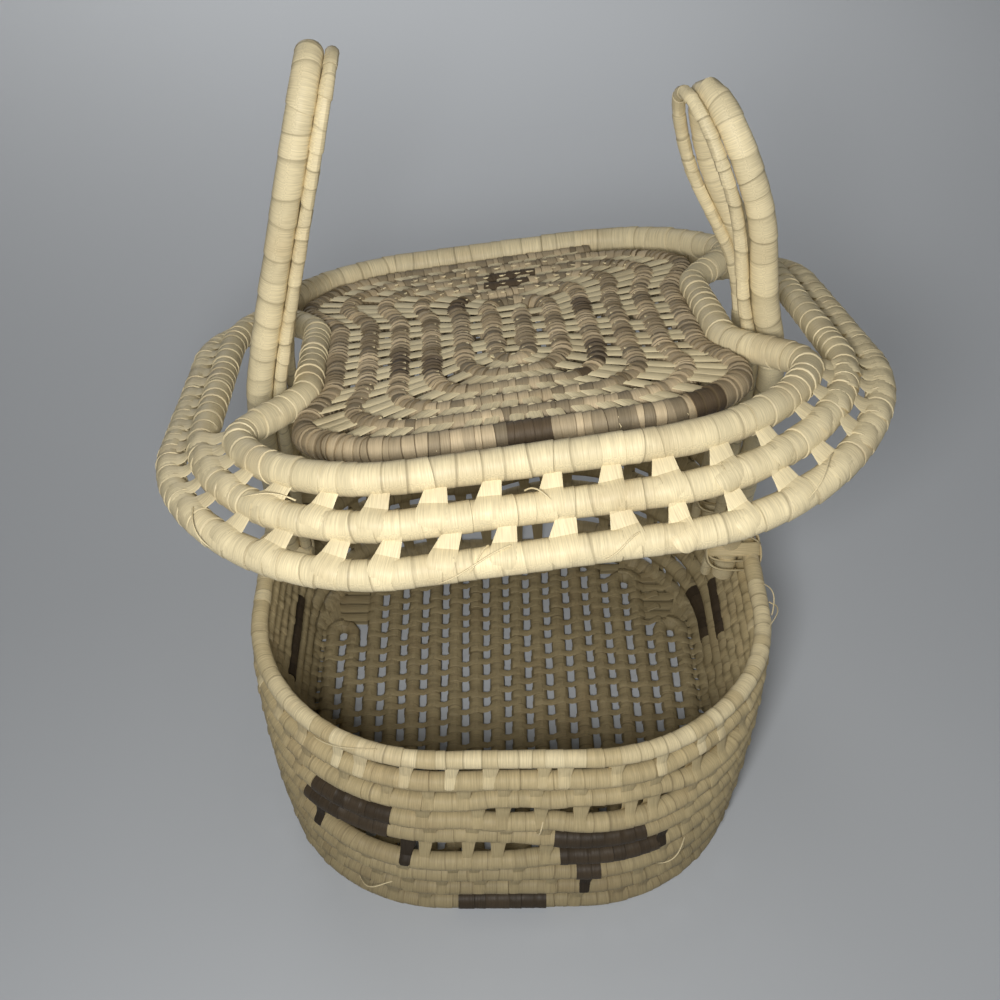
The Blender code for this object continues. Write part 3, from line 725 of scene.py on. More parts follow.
# What the stitches of the floor, the wall, the panel and the skirt have of their own
FLOOR_STITCH = {"width": 0.0056, "pinch": 0.22, "waist": 0.45, "slant": 0.0016, "steps": 10, "layers": 1}
WALL_STITCH = {
    "width": 0.0088,
    "start": 0.35,
    "dive": 0.0008,
    "spread": 0.66,
    "pinch": 0.10,
    "slant": 0.0012,
    "tip": 0.35,
}
PANEL_STITCH = {"width": 0.0072, "leaf": -0.0009, "pinch": 0.0, "waist": 0.74, "tip": 0.5, "steps": 9}
SKIRT_STITCH = {
    "width": 0.0066,
    "leaf": SEAT_LEAF,
    "start": 0.30,
    "spread": 1.85,
    "pinch": 0.0,
    "waist": 0.45,
    "slant": 0.0030,
    "dive": 0.0016,
    "tip": 0.9,
    "steps": 14,
    "layers": 1,
}


def made(tree, kind, output, inputs, **settings):
    """One output of a new shader node; each input is set, or joined where it is another node's output."""
    node = tree.nodes.new("ShaderNode" + kind)
    for name, setting in settings.items():
        setattr(node, name, setting)
    for name, value in inputs.items():
        if isinstance(value, bpy.types.NodeSocket):
            tree.links.new(value, node.inputs[name])
        else:
            node.inputs[name].default_value = value
    return node.outputs[output]


def mixed(tree, factor, one, two, blend="MIX"):
    """A colour mix."""
    return made(tree, "Mix", 2, {0: factor, 6: one, 7: two}, data_type="RGBA", blend_type=blend)


def product(tree, one, two):
    """One value times another."""
    return made(tree, "Math", "Value", {0: one, 1: two}, operation="MULTIPLY")


def spread_over(tree, value, low, high, to_low=0.0, to_high=1.0):
    """Maps a value from one range to another, held at the ends."""
    limits = {"From Min": low, "From Max": high, "To Min": to_low, "To Max": to_high}
    return made(tree, "MapRange", "Result", {"Value": value, **limits})


def noise(tree, source, scale, detail, stretch=(1.0, 1.0, 1.0)):
    """A noise over a source's coordinates, stretched along them."""
    stretched = made(tree, "Mapping", "Vector", {"Vector": source, "Scale": stretch})
    return made(tree, "TexNoise", "Fac", {"Vector": stretched, "Scale": scale, "Detail": detail})


def tinted(colour, share):
    """A colour times a share, held at one."""
    return tuple(min(1.0, share * part) for part in colour)


def leaf_look(name, pale, deep, stain_and_shade, roughness, dye=None, lap_shadow_depth=0.55, foot=1.0):
    """Dry split leaf: tone by wrap, stains, dye, fine veins along the strip, painted shade at the foot, and
    painted shadow with dirt at the laps.
    """
    look = bpy.data.materials.new(name)
    look.use_nodes = True
    tree = look.node_tree
    nodes = tree.nodes
    shader = nodes["Principled BSDF"]
    fact = nodes.new("ShaderNodeAttribute")
    fact.attribute_name = "leaf"
    parted = nodes.new("ShaderNodeSeparateColor")
    tree.links.new(fact.outputs["Color"], parted.inputs["Color"])
    tone, along, dark = parted.outputs["Red"], parted.outputs["Green"], parted.outputs["Blue"]
    strip = made(tree, "UVMap", "UV", {}, uv_map="wound")
    place = made(tree, "TexCoord", "Object", {})
    veins = noise(tree, strip, 1900.0, 3.0, (1.0, 0.045, 1.0))
    blotch = noise(tree, place, 38.0, 4.0)
    fleck = noise(tree, strip, 420.0, 5.0, (1.0, 0.35, 1.0))
    colour = mixed(tree, tone, (*deep, 1.0), (*pale, 1.0))
    colour = mixed(tree, spread_over(tree, blotch, 0.52, 0.78, 0.0, 0.42), colour, (*stain_and_shade, 1.0))
    # The dye mask also carries the panel's front spots, which are in part painted shadow
    if dye is not None:
        dyed = product(tree, dark, spread_over(tree, fleck, 0.66, 0.80, 1.0, 0.72))
        colour = mixed(tree, dyed, colour, (*dye, 1.0))
    shade = spread_over(tree, veins, 0.35, 0.68, 0.82, 1.07)
    # Painted shade: the colour darkens towards the bottom of the body, to the foot share at the floor's edge
    # and to none at 0.125 m high, standing for light that falls off there
    if foot < 1.0:
        height = made(tree, "SeparateXYZ", "Z", {"Vector": place})
        shade = product(tree, shade, spread_over(tree, height, 0.010, 0.125, foot, 1.0))
    tint = made(tree, "CombineColor", "Color", {"Red": shade, "Green": shade, "Blue": shade})
    colour = mixed(tree, 1.0, colour, tint, "MULTIPLY")
    # Painted shadow with some dirt: each wrap darkens towards its end, where the next wrap laps over it, to
    # a dark stain colour; the vertex's fourth fact sets how dark
    lap = product(tree, spread_over(tree, along, 0.86, 0.955, 0.0, lap_shadow_depth), fact.outputs["Alpha"])
    colour = mixed(tree, lap, colour, (*tinted(stain_and_shade, 0.22), 1.0))
    rough = spread_over(tree, veins, 0.3, 0.7, roughness + 0.10, roughness - 0.06)
    fine = {"Height": veins, "Strength": 0.32, "Distance": 0.0004}
    normal = made(tree, "Bump", "Normal", fine)
    coarse = {"Height": fleck, "Strength": 0.25, "Distance": 0.0008, "Normal": normal}
    normal = made(tree, "Bump", "Normal", coarse)
    for name, value in (("Base Color", colour), ("Roughness", rough), ("Normal", normal)):
        tree.links.new(value, shader.inputs[name])
    shader.inputs["Specular IOR Level"].default_value = 0.25
    return look


class BasketSizes(bpy.types.PropertyGroup):
    leaf_thickness: bpy.props.FloatProperty(
        name="Leaf thickness", description="Thickness of one strip of leaf", default=0.00045, unit="LENGTH"
    )
    wrap_width: bpy.props.FloatProperty(
        name="Wrap width", description="Mean width of a leaf wrap on the rows", default=0.0078, unit="LENGTH"
    )
    unevenness: bpy.props.FloatProperty(
        name="Unevenness",
        description="Spread of the wraps' widths about their mean",
        default=0.24,
        subtype="FACTOR",
    )
    wall_stitch_spacing: bpy.props.FloatProperty(
        name="Wall stitch spacing",
        description="Distance between the wall's stitches",
        default=0.0200,
        unit="LENGTH",
    )
    floor_stitch_spacing: bpy.props.FloatProperty(
        name="Floor stitch spacing",
        description="Distance between the floor's stitches",
        default=0.0132,
        unit="LENGTH",
    )
    panel_stitch_spacing: bpy.props.FloatProperty(
        name="Panel stitch spacing",
        description="Distance between the lid panel's stitches",
        default=0.0098,
        unit="LENGTH",
    )
    skirt_stitch_spacing: bpy.props.FloatProperty(
        name="Skirt stitch spacing",
        description="Distance between the skirt's stitches",
        default=0.0235,
        unit="LENGTH",
    )
    seed: bpy.props.IntProperty(name="Seed", description="Number that the unevenness grows from", default=7)


class LeafColours(bpy.types.PropertyGroup):
    straw: bpy.props.FloatVectorProperty(
        name="Straw", description="Leaf on the body", default=(0.56, 0.450, 0.245), subtype="COLOR"
    )
    pale: bpy.props.FloatVectorProperty(
        name="Pale straw",
        description="Leaf on the handles and the lid's edge",
        default=(0.80, 0.68, 0.42),
        subtype="COLOR",
    )
    # The panel's grey tan is partly the leaf's own tone and partly painted shade, as the panel turns away
    # from the light
    tan: bpy.props.FloatVectorProperty(
        name="Grey tan", description="Leaf on the lid's panel", default=(0.60, 0.475, 0.295), subtype="COLOR"
    )
    # Stains, and, darkened, the painted shadow with dirt at the wraps' laps
    stain_and_shade: bpy.props.FloatVectorProperty(
        name="Stain", description="Older and handled places", default=(0.42, 0.30, 0.15), subtype="COLOR"
    )
    dye: bpy.props.FloatVectorProperty(
        name="Dye", description="Dark dyed leaf", default=(0.044, 0.031, 0.018), subtype="COLOR"
    )


class StageLook(bpy.types.PropertyGroup):
    floor: bpy.props.FloatVectorProperty(
        name="Floor",
        description="Colour of the floor and the background",
        default=(0.50, 0.52, 0.54),
        subtype="COLOR",
    )
    key_power: bpy.props.FloatProperty(
        name="Key power", description="Power of the main lamp", default=4.3, unit="POWER"
    )
    fill: bpy.props.FloatProperty(
        name="Fill", description="Strength of the light from all round", default=0.11
    )


LOOKS = {}


def looks():
    """The six leaf finishes, made once."""
    if not LOOKS:
        colours = bpy.context.scene.basket_colours
        straw, pale, tan = tuple(colours.straw), tuple(colours.pale), tuple(colours.tan)
        stain_and_shade, dye = tuple(colours.stain_and_shade), tuple(colours.dye)
        for key, *settings in (
            # The wall's last number darkens its foot as painted shade
            ("wall", "straw leaf", straw, tinted(straw, 0.86), stain_and_shade, 0.56, dye, 0.55, 0.62),
            ("pale", "pale leaf", pale, tinted(pale, 0.84), stain_and_shade, 0.50, dye),
            # The panel's deep tone, about a third of the grey tan, and its full lap darkening stand partly
            # for painted shadow between the coils
            ("panel", "grey tan leaf", tan, tinted(tan, 0.36), stain_and_shade, 0.60, tinted(dye, 2.3), 1.0),
            ("stitch", "stitch leaf", pale, straw, stain_and_shade, 0.55, dye),
            # The panel's stitches: a paler copy of the pale leaf, partly bleached and partly painted light,
            # as they face the lamp
            ("bleached", "bleached leaf", tinted(pale, 1.12), pale, stain_and_shade, 0.55, dye),
            ("dyed", "dyed leaf", tinted(dye, 1.5), dye, tinted(dye, 2.2), 0.52),
        ):
            LOOKS[key] = leaf_look(*settings)
    return LOOKS


def random_for(name):
    """A row of random numbers that grows from the seed and a name."""
    seed = bpy.context.scene.basket_sizes.seed
    return np.random.default_rng([seed] + [ord(letter) for letter in name])


def stitch_stations(outline, spacing, begin=0.0, end=1.0, rng=None):
    """Stations at about even lengths round an outline, shaken a little."""
    length = outline_lengths(*outline).sum() * (end - begin)
    count = max(int(round(length / spacing)), 1)
    share = begin + (end - begin) * (np.arange(count) + 0.5) / count
    if rng is not None:
        share = share + (end - begin) / count * STATION_STRAY * rng.standard_normal(count)
    return station_of(outline, share)


def clear_of_dye(stations, row):
    """True where a wall row carries no dyed stretch at these stations."""
    clear = np.ones(len(stations), bool)
    for _, dyed_row, middle, half in DYED_ROWS:
        if dyed_row == row:
            share = share_of(wall_outline(row), stations)
            clear &= np.abs(np.mod(share - middle + 0.5, 1.0) - 0.5) > half + DYE_MARGIN
    return clear


def heading_at(row_at, station, reach=0.01):
    """Which way a row, given as a function of the station, runs there."""
    return unit(row_at(station + reach) - row_at(station - reach))


def row_stitches(upper_at, lower_at, stations, shape, rng):
    """The grids of stitches at stations between two rows given as functions of the station."""
    heading = heading_at(upper_at, stations)
    return stitch_grid(upper_at(stations), lower_at(stations), heading, np.cross(Z, heading), shape, rng)


# Distance between the ties of the lowest row, and between those where a run stops short of it
EDGE_TIE_SPACING = 0.0088
CORNER_TIE_SPACING = 0.0082

# How far stitches stray from their even places: the floor's in metres, the others as shares
FLOOR_STRAY = 0.0009
STATION_STRAY = 0.14
SKIRT_STRAY = 0.0008


def corner_ties():
    """Ends of the straps that tie a floor run to the lowest row where the next run out stops short of it."""
    x, limit, bend = run_places()
    even = np.arange(BASE_RUNS) % 2 == 0
    before, after = np.append(limit[0], bend), np.append(bend, limit[-1])
    back, front = np.where(even, after, before), np.where(even, before, after)
    edge, _ = outline_at(*wall_outline(0.0), np.linspace(0.0, LOOP, 4000))
    inner, outer = [], []
    for run in range(BASE_RUNS):
        side = -1 if run < BASE_RUNS // 2 else 1
        beside = run + side
        for end, reach in ((1.0, back), (-1.0, front)):
            begin = reach[beside] + BASE_PITCH if 0 <= beside < BASE_RUNS else limit[run]
            y = end * np.arange(begin, reach[run] + BASE_PITCH / 2.0, CORNER_TIE_SPACING)
            near = edge[edge[:, 0] * side > 0.0]
            ring_x = near[np.argmin(np.abs(near[None, :, 1] - y[:, None]), axis=1), 0]
            keep = np.abs(ring_x - x[run]) > BASE_PITCH
            inner.append(columns(x[run], y[keep], BASE_HEIGHT))
            outer.append(columns(ring_x[keep], y[keep], BASE_HEIGHT))
    return np.concatenate(inner), np.concatenate(outer)


class BASKET_OT_floor(bpy.types.Operator):
    """Lays the floor's cord, the lowest row round it and the stitches between its runs"""

    bl_idname = "basket.floor"
    bl_label = "Lay the floor"

    def execute(self, context):
        sizes = context.scene.basket_sizes
        rng = random_for("floor")
        half, wall_half = BASE_COIL / 2.0, WALL_COIL / 2.0
        runs = Line(floor_line())
        rows = wrapped_rows(runs, half, leaf_wraps(sizes, lap=0.00016), rng, sides=12)
        dress("floor_rows", capped(rows), "wall", "basket", ["base_coil"], True)
        leaf = leaf_wraps(sizes, lap=0.00018)
        rows = wrapped_rows(Line(ring_line(0.0), True), wall_half, leaf, rng)
        dress("lowest_row", capped(rows), "wall", "basket", ["base_edge_coil"], True)
        x, _, bend = run_places()
        starts, ends = [], []
        for gap in range(BASE_RUNS - 1):
            near = bend[max(gap - 1, 0)] - BASE_COIL
            far = bend[gap] - BASE_COIL * 0.4
            end = 1.0 if gap % 2 == 0 else -1.0
            count = int(round((near + far) / sizes.floor_stitch_spacing))
            y = -end * near + end * (near + far) * (np.arange(count) + 0.5) / count
            y = y + FLOOR_STRAY * rng.standard_normal(count)
            starts.append(columns(x[gap], y, BASE_HEIGHT))
            ends.append(columns(x[gap + 1], y, BASE_HEIGHT))
        shape = stitch_shape(sizes, half, half, **FLOOR_STITCH)
        parts = [stitches(np.concatenate(starts), np.concatenate(ends), Y, Z, shape, rng)]
        ring, way = outline_at(*wall_outline(0.0), stitch_stations(BASE, EDGE_TIE_SPACING))
        apart = np.linalg.norm(runs.points[None, :, :2] - ring[:, None], axis=2)
        ring = columns(*ring.T, EDGE_HEIGHT)
        heading = columns(-way[:, 1], way[:, 0], 0.0)
        shape = stitch_shape(sizes, wall_half, half, width=0.0068, start=0.2, waist=0.42, slant=0.0010)
        parts.append(stitches(ring, runs.points[np.argmin(apart, axis=1)], heading, Z, shape, rng))
        shape = stitch_shape(sizes, half, wall_half, width=0.0070, start=0.1, waist=0.45, pinch=0.1)
        parts.append(stitches(*corner_ties(), Y, Z, shape, rng))
        dress("floor_stitches", joined(parts), "wall", "basket", ["base_lacing"], True)
        return {"FINISHED"}


class BASKET_OT_wall(bpy.types.Operator):
    """Coils the wall rows and the rim, with the stitches that tie each row to the one below"""

    bl_idname = "basket.wall"
    bl_label = "Coil the wall"

    def execute(self, context):
        sizes = context.scene.basket_sizes
        rng = random_for("wall")
        half = WALL_COIL / 2.0
        leaf = leaf_wraps(sizes, lap=0.00018)
        rows = wrapped_rows(Line(wall_line()), half, leaf, rng, sides=14)
        dress("wall_rows", capped(rows), "wall", "basket", ["wall_coil"])
        rows = wrapped_rows(Line(ring_line(RIM_ROW), True), half - SEAT_EASE, leaf, rng)
        dress("rim_row", capped(rows), "stitch", "basket", ["rim_coil"])
        shape = stitch_shape(sizes, half, half, **WALL_STITCH)
        parts = []
        for loop in range(WALL_LOOPS):
            outline = wall_outline(loop + 1.0)
            stations = stitch_stations(outline, sizes.wall_stitch_spacing, rng=rng)
            if loop == WALL_LOOPS - 1:
                stations = stations[stations < BACK]
            stations = stations[clear_of_dye(stations, loop + 1) & clear_of_dye(stations, loop)]
            dark = [station_of(outline, share) for row, share in DYED_STITCHES if row == loop]
            stations = np.concatenate((stations, dark))

            def upper_at(station, loop=loop):
                return wall_at(1.0 + loop + climb(station), station)

            def lower_at(station, loop=loop):
                return wall_at(loop + climb(station) if loop else 0.0, station)

            place, facts, wound = row_stitches(upper_at, lower_at, stations, shape, rng)
            for layer in (1, 2):
                last = layer * len(stations)
                facts[last - len(dark) : last, ..., 2] = 1.0
            parts.append(stitched_mesh(place, facts, wound))
        dress("wall_stitches", joined(parts), "wall", "basket", ["wall_lacing"])

        def under_rim(station):
            low = np.where(np.mod(station, LOOP) > BACK, RIM_ROW - 2.0 + climb(station), RIM_ROW - 1.0)
            return wall_at(low, station)

        shape = stitch_shape(sizes, half - SEAT_EASE, half, leaf=SEAT_LEAF, **WALL_STITCH)
        for name, node, begin, end in (
            ("front_rim_stitches", "rim_lacing_front", 0.250, 0.675),
            ("back_rim_stitches", "rim_lacing_back", 0.790, 1.135),
        ):
            stations = stitch_stations(MOUTH, sizes.wall_stitch_spacing, begin, end, rng)
            grids = row_stitches(lambda station: wall_at(RIM_ROW, station), under_rim, stations, shape, rng)
            dress(name, stitched_mesh(*grids), "stitch", "basket", [node])
        return {"FINISHED"}


class BASKET_OT_dyed(bpy.types.Operator):
    """Winds the dark dyed stretches over their rows"""

    bl_idname = "basket.dyed"
    bl_label = "Wind the dyed stretches"

    def execute(self, context):
        sizes = context.scene.basket_sizes
        wall = Line(wall_line())
        edge = Line(ring_line(0.0), True)
        for node, row, middle, half_share in DYED_ROWS:
            rng = random_for(node)
            outline = wall_outline(row)
            line = edge if row == 0 else wall
            centre = line.nearest(wall_at(row, station_of(outline, middle)))
            half = half_share * outline_lengths(*outline).sum()
            span = (centre - half, centre + half)
            leaf = leaf_wraps(sizes, lap=0.00022, width=sizes.wrap_width * 0.9, skew=0.0003)
            rows = wrapped_rows(line, WALL_COIL / 2.0 + DYED_RISE, leaf, rng, span=span)
            name = node.replace("dyed_", "dark_wrap_")
            dress(name, capped(rows), "dyed", "basket", [node], row == 0)
        return {"FINISHED"}


# The bands of a handle's foot: clearance, slant, rise, and half of their width and of their thickness
BAND_CLEARANCE = 0.0010
BAND_SLANT = 0.0072
BAND_RISE = 0.0064
BAND_HALF = 0.0038
BAND_HALF_THICKNESS = 0.0006


def squared(wave, power):
    """A wave between minus one and one, made squarer by a power below one."""
    return np.sign(wave) * np.abs(wave) ** power


def binding_line(side, y, turn, steps=96):
    """An oval slanted at about 45 degrees round the rim and both strands of a handle foot."""
    outer = MOUTH[0] + WALL_COIL / 2.0
    inner = MOUTH[0] - (WALL_COIL + 2.0 * STRAND) / 2.0 - THIN_INSET - THIN_STRAND / 2.0 + STRAND / 2.0
    angle = np.linspace(0.0, 2.0 * math.pi, steps, endpoint=False)
    across = squared(np.cos(angle), 0.75)
    across = (outer + inner) / 2.0 + ((outer - inner) / 2.0 + BAND_CLEARANCE) * across
    wave = squared(np.sin(angle), 0.65)
    return columns(side * across, y + BAND_SLANT * wave * turn, RIM_HEIGHT + BAND_RISE * wave)


def flat_band(line, up, rng):
    """A closed leaf band: a flattened ring carried along a closed line."""
    run = np.linspace(0.0, line.length, 72, endpoint=False)
    angle = np.linspace(0.0, 2.0 * math.pi, 8, endpoint=False)
    outward, above = line.across(run, up)
    ring_x = squared(np.cos(angle), 0.6) * BAND_HALF_THICKNESS
    ring_y = squared(np.sin(angle), 0.6) * BAND_HALF
    place = line.at(run)[:, None] + ring_x[:, None] * outward[:, None] + ring_y[:, None] * above[:, None]
    facts = np.zeros((*place.shape[:2], 4))
    facts[..., 0] = rng.uniform()
    facts[..., 1] = 0.3
    return capped({"grid": place, "facts": facts, "wound": columns(ring_y, run[:, None]), "closed": True})


# Each handle's strands: piece, node, inset, thickness, wraps' width, lap and skew, sides and slot
STRANDS = (
    ("handle_wraps", "handle_strand", 0.0, STRAND, 0.0125, 0.00022, 0.0018, 20, "pale_straw_wrap"),
    ("thin_wraps", "handle_thin_strand", THIN_INSET, THIN_STRAND, 0.0100, 0.00026, 0.0016, 12, "straw_wrap"),
)

# The three bands that bind a handle's foot: shift along the rim, and which way each slants
FOOT_BANDS = ((-0.0036, 1.0), (0.0036, 1.0), (0.0, -1.0))


class BASKET_OT_handles(bpy.types.Operator):
    """Wraps both strands of each handle and binds its feet to the rim"""

    bl_idname = "basket.handles"
    bl_label = "Wrap the handles"

    def execute(self, context):
        sizes = context.scene.basket_sizes
        for name, handle in HANDLES.items():
            rng = random_for(name)
            for piece, node, inset, thickness, width, lap, skew, sides, slot in STRANDS:
                leaf = leaf_wraps(sizes, lap, width, skew=skew)
                rows = wrapped_rows(Line(handle_line(*handle, inset)), thickness / 2.0, leaf, rng, X, sides)
                dress(name + "_" + piece, capped(rows), "pale", "basket", [name + "_" + node])
            for end, y in (("front", FOOT_MIDDLE - FOOT_HALF_GAP), ("back", FOOT_MIDDLE + FOOT_HALF_GAP)):
                bands = []
                for offset, turn in FOOT_BANDS:
                    line = Line(binding_line(handle[0], y + offset, turn), True)
                    bands.append(flat_band(line, np.array((0.0, 0.7, 0.7 * -turn)), rng))
                foot = name + "_" + end + "_foot_"
                node = foot + "binding"
                dress(foot + "wraps", joined(bands), "stitch", "basket", [node])
        return {"FINISHED"}


# How much slimmer than its solid the panel's row is, to make room for its bold laps
PANEL_EASE = 0.0002

# The panel's middle strip: how far from its ends the stitches keep, and their spacing
STRIP_END = 0.004
STRIP_SPACING = 0.0098

# The start stitch: how far the others keep from it, half its length between rows, and the radius it bridges
KNOT_GAP = 0.0062
KNOT_HALF = 0.0010
KNOT_RADIUS = 0.0026

# Dyed places of the lid's panel, some of them partly painted shadow, in the lid's own frame: middle x and y,
# half width and half depth
DYED_AND_SHADOWED_PANEL = (
    (0.0047, 0.0940, 0.0128, 0.0100),
    (-0.0354, 0.0603, 0.0070, 0.0080),
    (-0.0231, 0.0579, 0.0050, 0.0110),
    (-0.0592, -0.0146, 0.0070, 0.0120),
    (-0.0462, -0.0228, 0.0080, 0.0110),
    (0.0408, 0.0329, 0.0070, 0.0110),
    (0.0344, -0.0332, 0.0070, 0.0120),
    (0.0230, -0.0498, 0.0060, 0.0060),
    (0.0397, -0.0559, 0.0050, 0.0057),
    # These three, at the front just behind the ridge, are partly painted shadow of the ridge
    (-0.0009, -0.0972, 0.0100, 0.0070),
    (0.0003, -0.1093, 0.0090, 0.0060),
    (0.0797, -0.1014, 0.0114, 0.0090),
)


def dye_and_shadow_spots(rows, spots):
    """Marks the wraps whose middles lie in one of the dark places: dyed leaf, and in part painted shadow."""
    middles = rows["middles"]
    dark = np.zeros(len(middles))
    for x, y, wide, deep in spots:
        dark = np.maximum(dark, (np.abs(middles[:, 0] - x) < wide) & (np.abs(middles[:, 1] - y) < deep))
    rows["facts"][..., 2] = np.repeat(dark, rows["rings"])[:, None]


class BASKET_OT_panel(bpy.types.Operator):
    """Coils the lid's panel and laces its loops together"""

    bl_idname = "basket.panel"
    bl_label = "Coil the lid's panel"

    def execute(self, context):
        sizes = context.scene.basket_sizes
        rng = random_for("panel")
        half = PANEL_COIL / 2.0
        leaf = leaf_wraps(sizes, lap=0.00030, width=0.0044, lift=0.5, skew=0.0012, bold=1.6)
        rows = wrapped_rows(Line(panel_line()), half - PANEL_EASE, leaf, rng)
        dye_and_shadow_spots(rows, DYED_AND_SHADOWED_PANEL)
        dress("panel_rows", capped(rows), "panel", "lid", ["lid_panel_coil"])
        shape = stitch_shape(sizes, half, half, **PANEL_STITCH)
        parts = []
        for loop in range(PANEL_LOOPS - 1):
            outline, _ = panel_outline(loop + 0.5)
            stations = stitch_stations(outline, sizes.panel_stitch_spacing, rng=rng)
            if loop == 0:
                stations = stations[stations > 1.0]

            def row_at(station, out=1.0, loop=loop):
                return panel_at(panel_level(np.full_like(station, loop), station) + out, station)

            heading = heading_at(row_at, stations)
            parts.append(stitches(row_at(stations), row_at(stations, 0.0), heading, Z, shape, rng))
        y = np.arange(STRIP_END - PANEL_FRONT[0], PANEL_BACK[0] - STRIP_END, STRIP_SPACING)
        y = y[np.abs(y) > KNOT_GAP]
        x = PANEL_PITCH / 2.0 * (1.0 - PANEL_SQUEEZE * squeeze(y))
        right = columns(x, y, -PANEL_SINK)
        parts.append(stitches(right, right * MIRROR, Y, Z, shape, rng))
        # The panel's stitches take the paler leaf, lightened partly as painted light
        dress("panel_stitches", joined(parts), "bleached", "lid", ["lid_panel_lacing"])
        knot = np.array(((KNOT_HALF, 0.0, -PANEL_SINK),))
        shape = stitch_shape(sizes, KNOT_RADIUS, KNOT_RADIUS, width=0.0100, pinch=0.1, waist=0.8, tip=0.9)
        parts = stitches(knot, knot * MIRROR, Y, Z, shape, rng)
        dress("start_stitch", parts, "stitch", "lid_carrier", ["lid_start_knot"])
        return {"FINISHED"}


# Distance between the skirt's stitches at its sides and back, and the widest gap that one spans
SKIRT_SIDE_SPACING = 0.0132
SKIRT_REACH = 0.024


def skirt_stations(outline, front_spacing, rng):
    """Stations round a skirt row: evenly close at its sides and back, softly wider apart at its front."""
    share = np.linspace(0.0, 1.0, 2000)
    _, normal = outline_at(*outline, station_of(outline, share))
    front = soft_step((-normal[:, 1] - 0.35) / 0.4)
    spacing = SKIRT_SIDE_SPACING + (front_spacing - SKIRT_SIDE_SPACING) * front
    steps = outline_lengths(*outline).sum() / len(share) / spacing[1:]
    done = np.concatenate(([0.0], np.cumsum(steps)))
    count = int(done[-1])
    picked = np.interp((np.arange(count) + 0.5) * done[-1] / count, done, share)
    return station_of(outline, picked + SKIRT_STRAY * rng.standard_normal(count))


class BASKET_OT_lid_edge(bpy.types.Operator):
    """Coils the ridge and the skirt round the panel and ties them together"""

    bl_idname = "basket.lid_edge"
    bl_label = "Coil the lid's edge"

    def execute(self, context):
        sizes = context.scene.basket_sizes
        rng = random_for("edge")
        half = SKIRT_COIL / 2.0
        leaf = leaf_wraps(sizes, lap=0.00020, width=0.0088, lift=0.3, skew=0.0014, bold=1.1)
        ridge = Line(ridge_at(np.linspace(0.0, LOOP, 2400, endpoint=False)), True)
        rows = wrapped_rows(ridge, RIDGE_COIL / 2.0, leaf, rng, sides=18)
        dress("ridge_row", capped(rows), "pale", "lid", ["lid_ridge_coil"])
        rows = wrapped_rows(Line(skirt_line()), half - 1.2 * SEAT_EASE, leaf, rng, sides=18)
        dress("skirt_rows", capped(rows), "pale", "lid", ["lid_skirt_coil"])
        parts = []
        for loop, outline in enumerate((FIRST_SKIRT, LAST_SKIRT)):
            stations = skirt_stations(outline, sizes.skirt_stitch_spacing, rng)
            if loop == SKIRT_LOOPS - 1:
                stations = stations[stations < BACK]

            def outer_at(station, loop=loop):
                return skirt_at(loop + climb(station), station)

            inner_half = half if loop else RIDGE_COIL / 2.0
            shape = stitch_shape(sizes, inner_half - SEAT_EASE, half - SEAT_EASE, **SKIRT_STITCH)
            inner = skirt_at(loop - 1.0 + climb(stations), stations) if loop else ridge_at(stations)
            outer, heading = outer_at(stations), heading_at(outer_at, stations)
            fits = np.linalg.norm(inner - outer, axis=1) < SKIRT_REACH
            parts.append(stitches(inner[fits], outer[fits], heading[fits], Z, shape, rng))
        dress("skirt_stitches", joined(parts), "pale", "lid", ["lid_skirt_lacing"])
        return {"FINISHED"}


# Loose fibres: the row each springs from, its stations, the angles round the row, and how far it bows out
FIBRES = (
    ("lid", 1.0, 3.62, 3.90, 75.0, -25.0, 0.0011),
    ("lid", 1.0, 3.70, 3.78, 90.0, 0.0, 0.0008),
    ("lid", 0.0, 3.55, 3.45, 120.0, 45.0, 0.0012),
    ("lid", 1.0, 3.16, 3.30, 60.0, -15.0, 0.0022),
    ("lid", 1.0, 2.55, 2.70, 100.0, 20.0, 0.0028),
    ("lid", 0.0, 4.35, 4.50, 120.0, 50.0, 0.0018),
    ("lid", 1.0, 4.62, 4.50, 80.0, 0.0, 0.0024),
    ("basket", 8.0, 2.05, 1.86, 30.0, 70.0, 0.0042),
    ("basket", 8.0, 1.95, 2.12, -10.0, 60.0, 0.0034),
    ("basket", 8.0, 4.20, 4.42, 70.0, -20.0, 0.0009),
    ("basket", 5.0, 3.30, 3.36, 50.0, -60.0, 0.0016),
    ("basket", 1.0, 4.20, 4.34, 40.0, -50.0, 0.0036),
    ("basket", 2.0, 2.60, 2.72, 60.0, -30.0, 0.0026),
    ("basket", 6.0, 0.60, 0.70, 60.0, -30.0, 0.0022),
)

# Radius of a fibre, and how far its ends stand over the row
FIBRE_RADIUS = 0.00036
FIBRE_LIFT = 0.0004


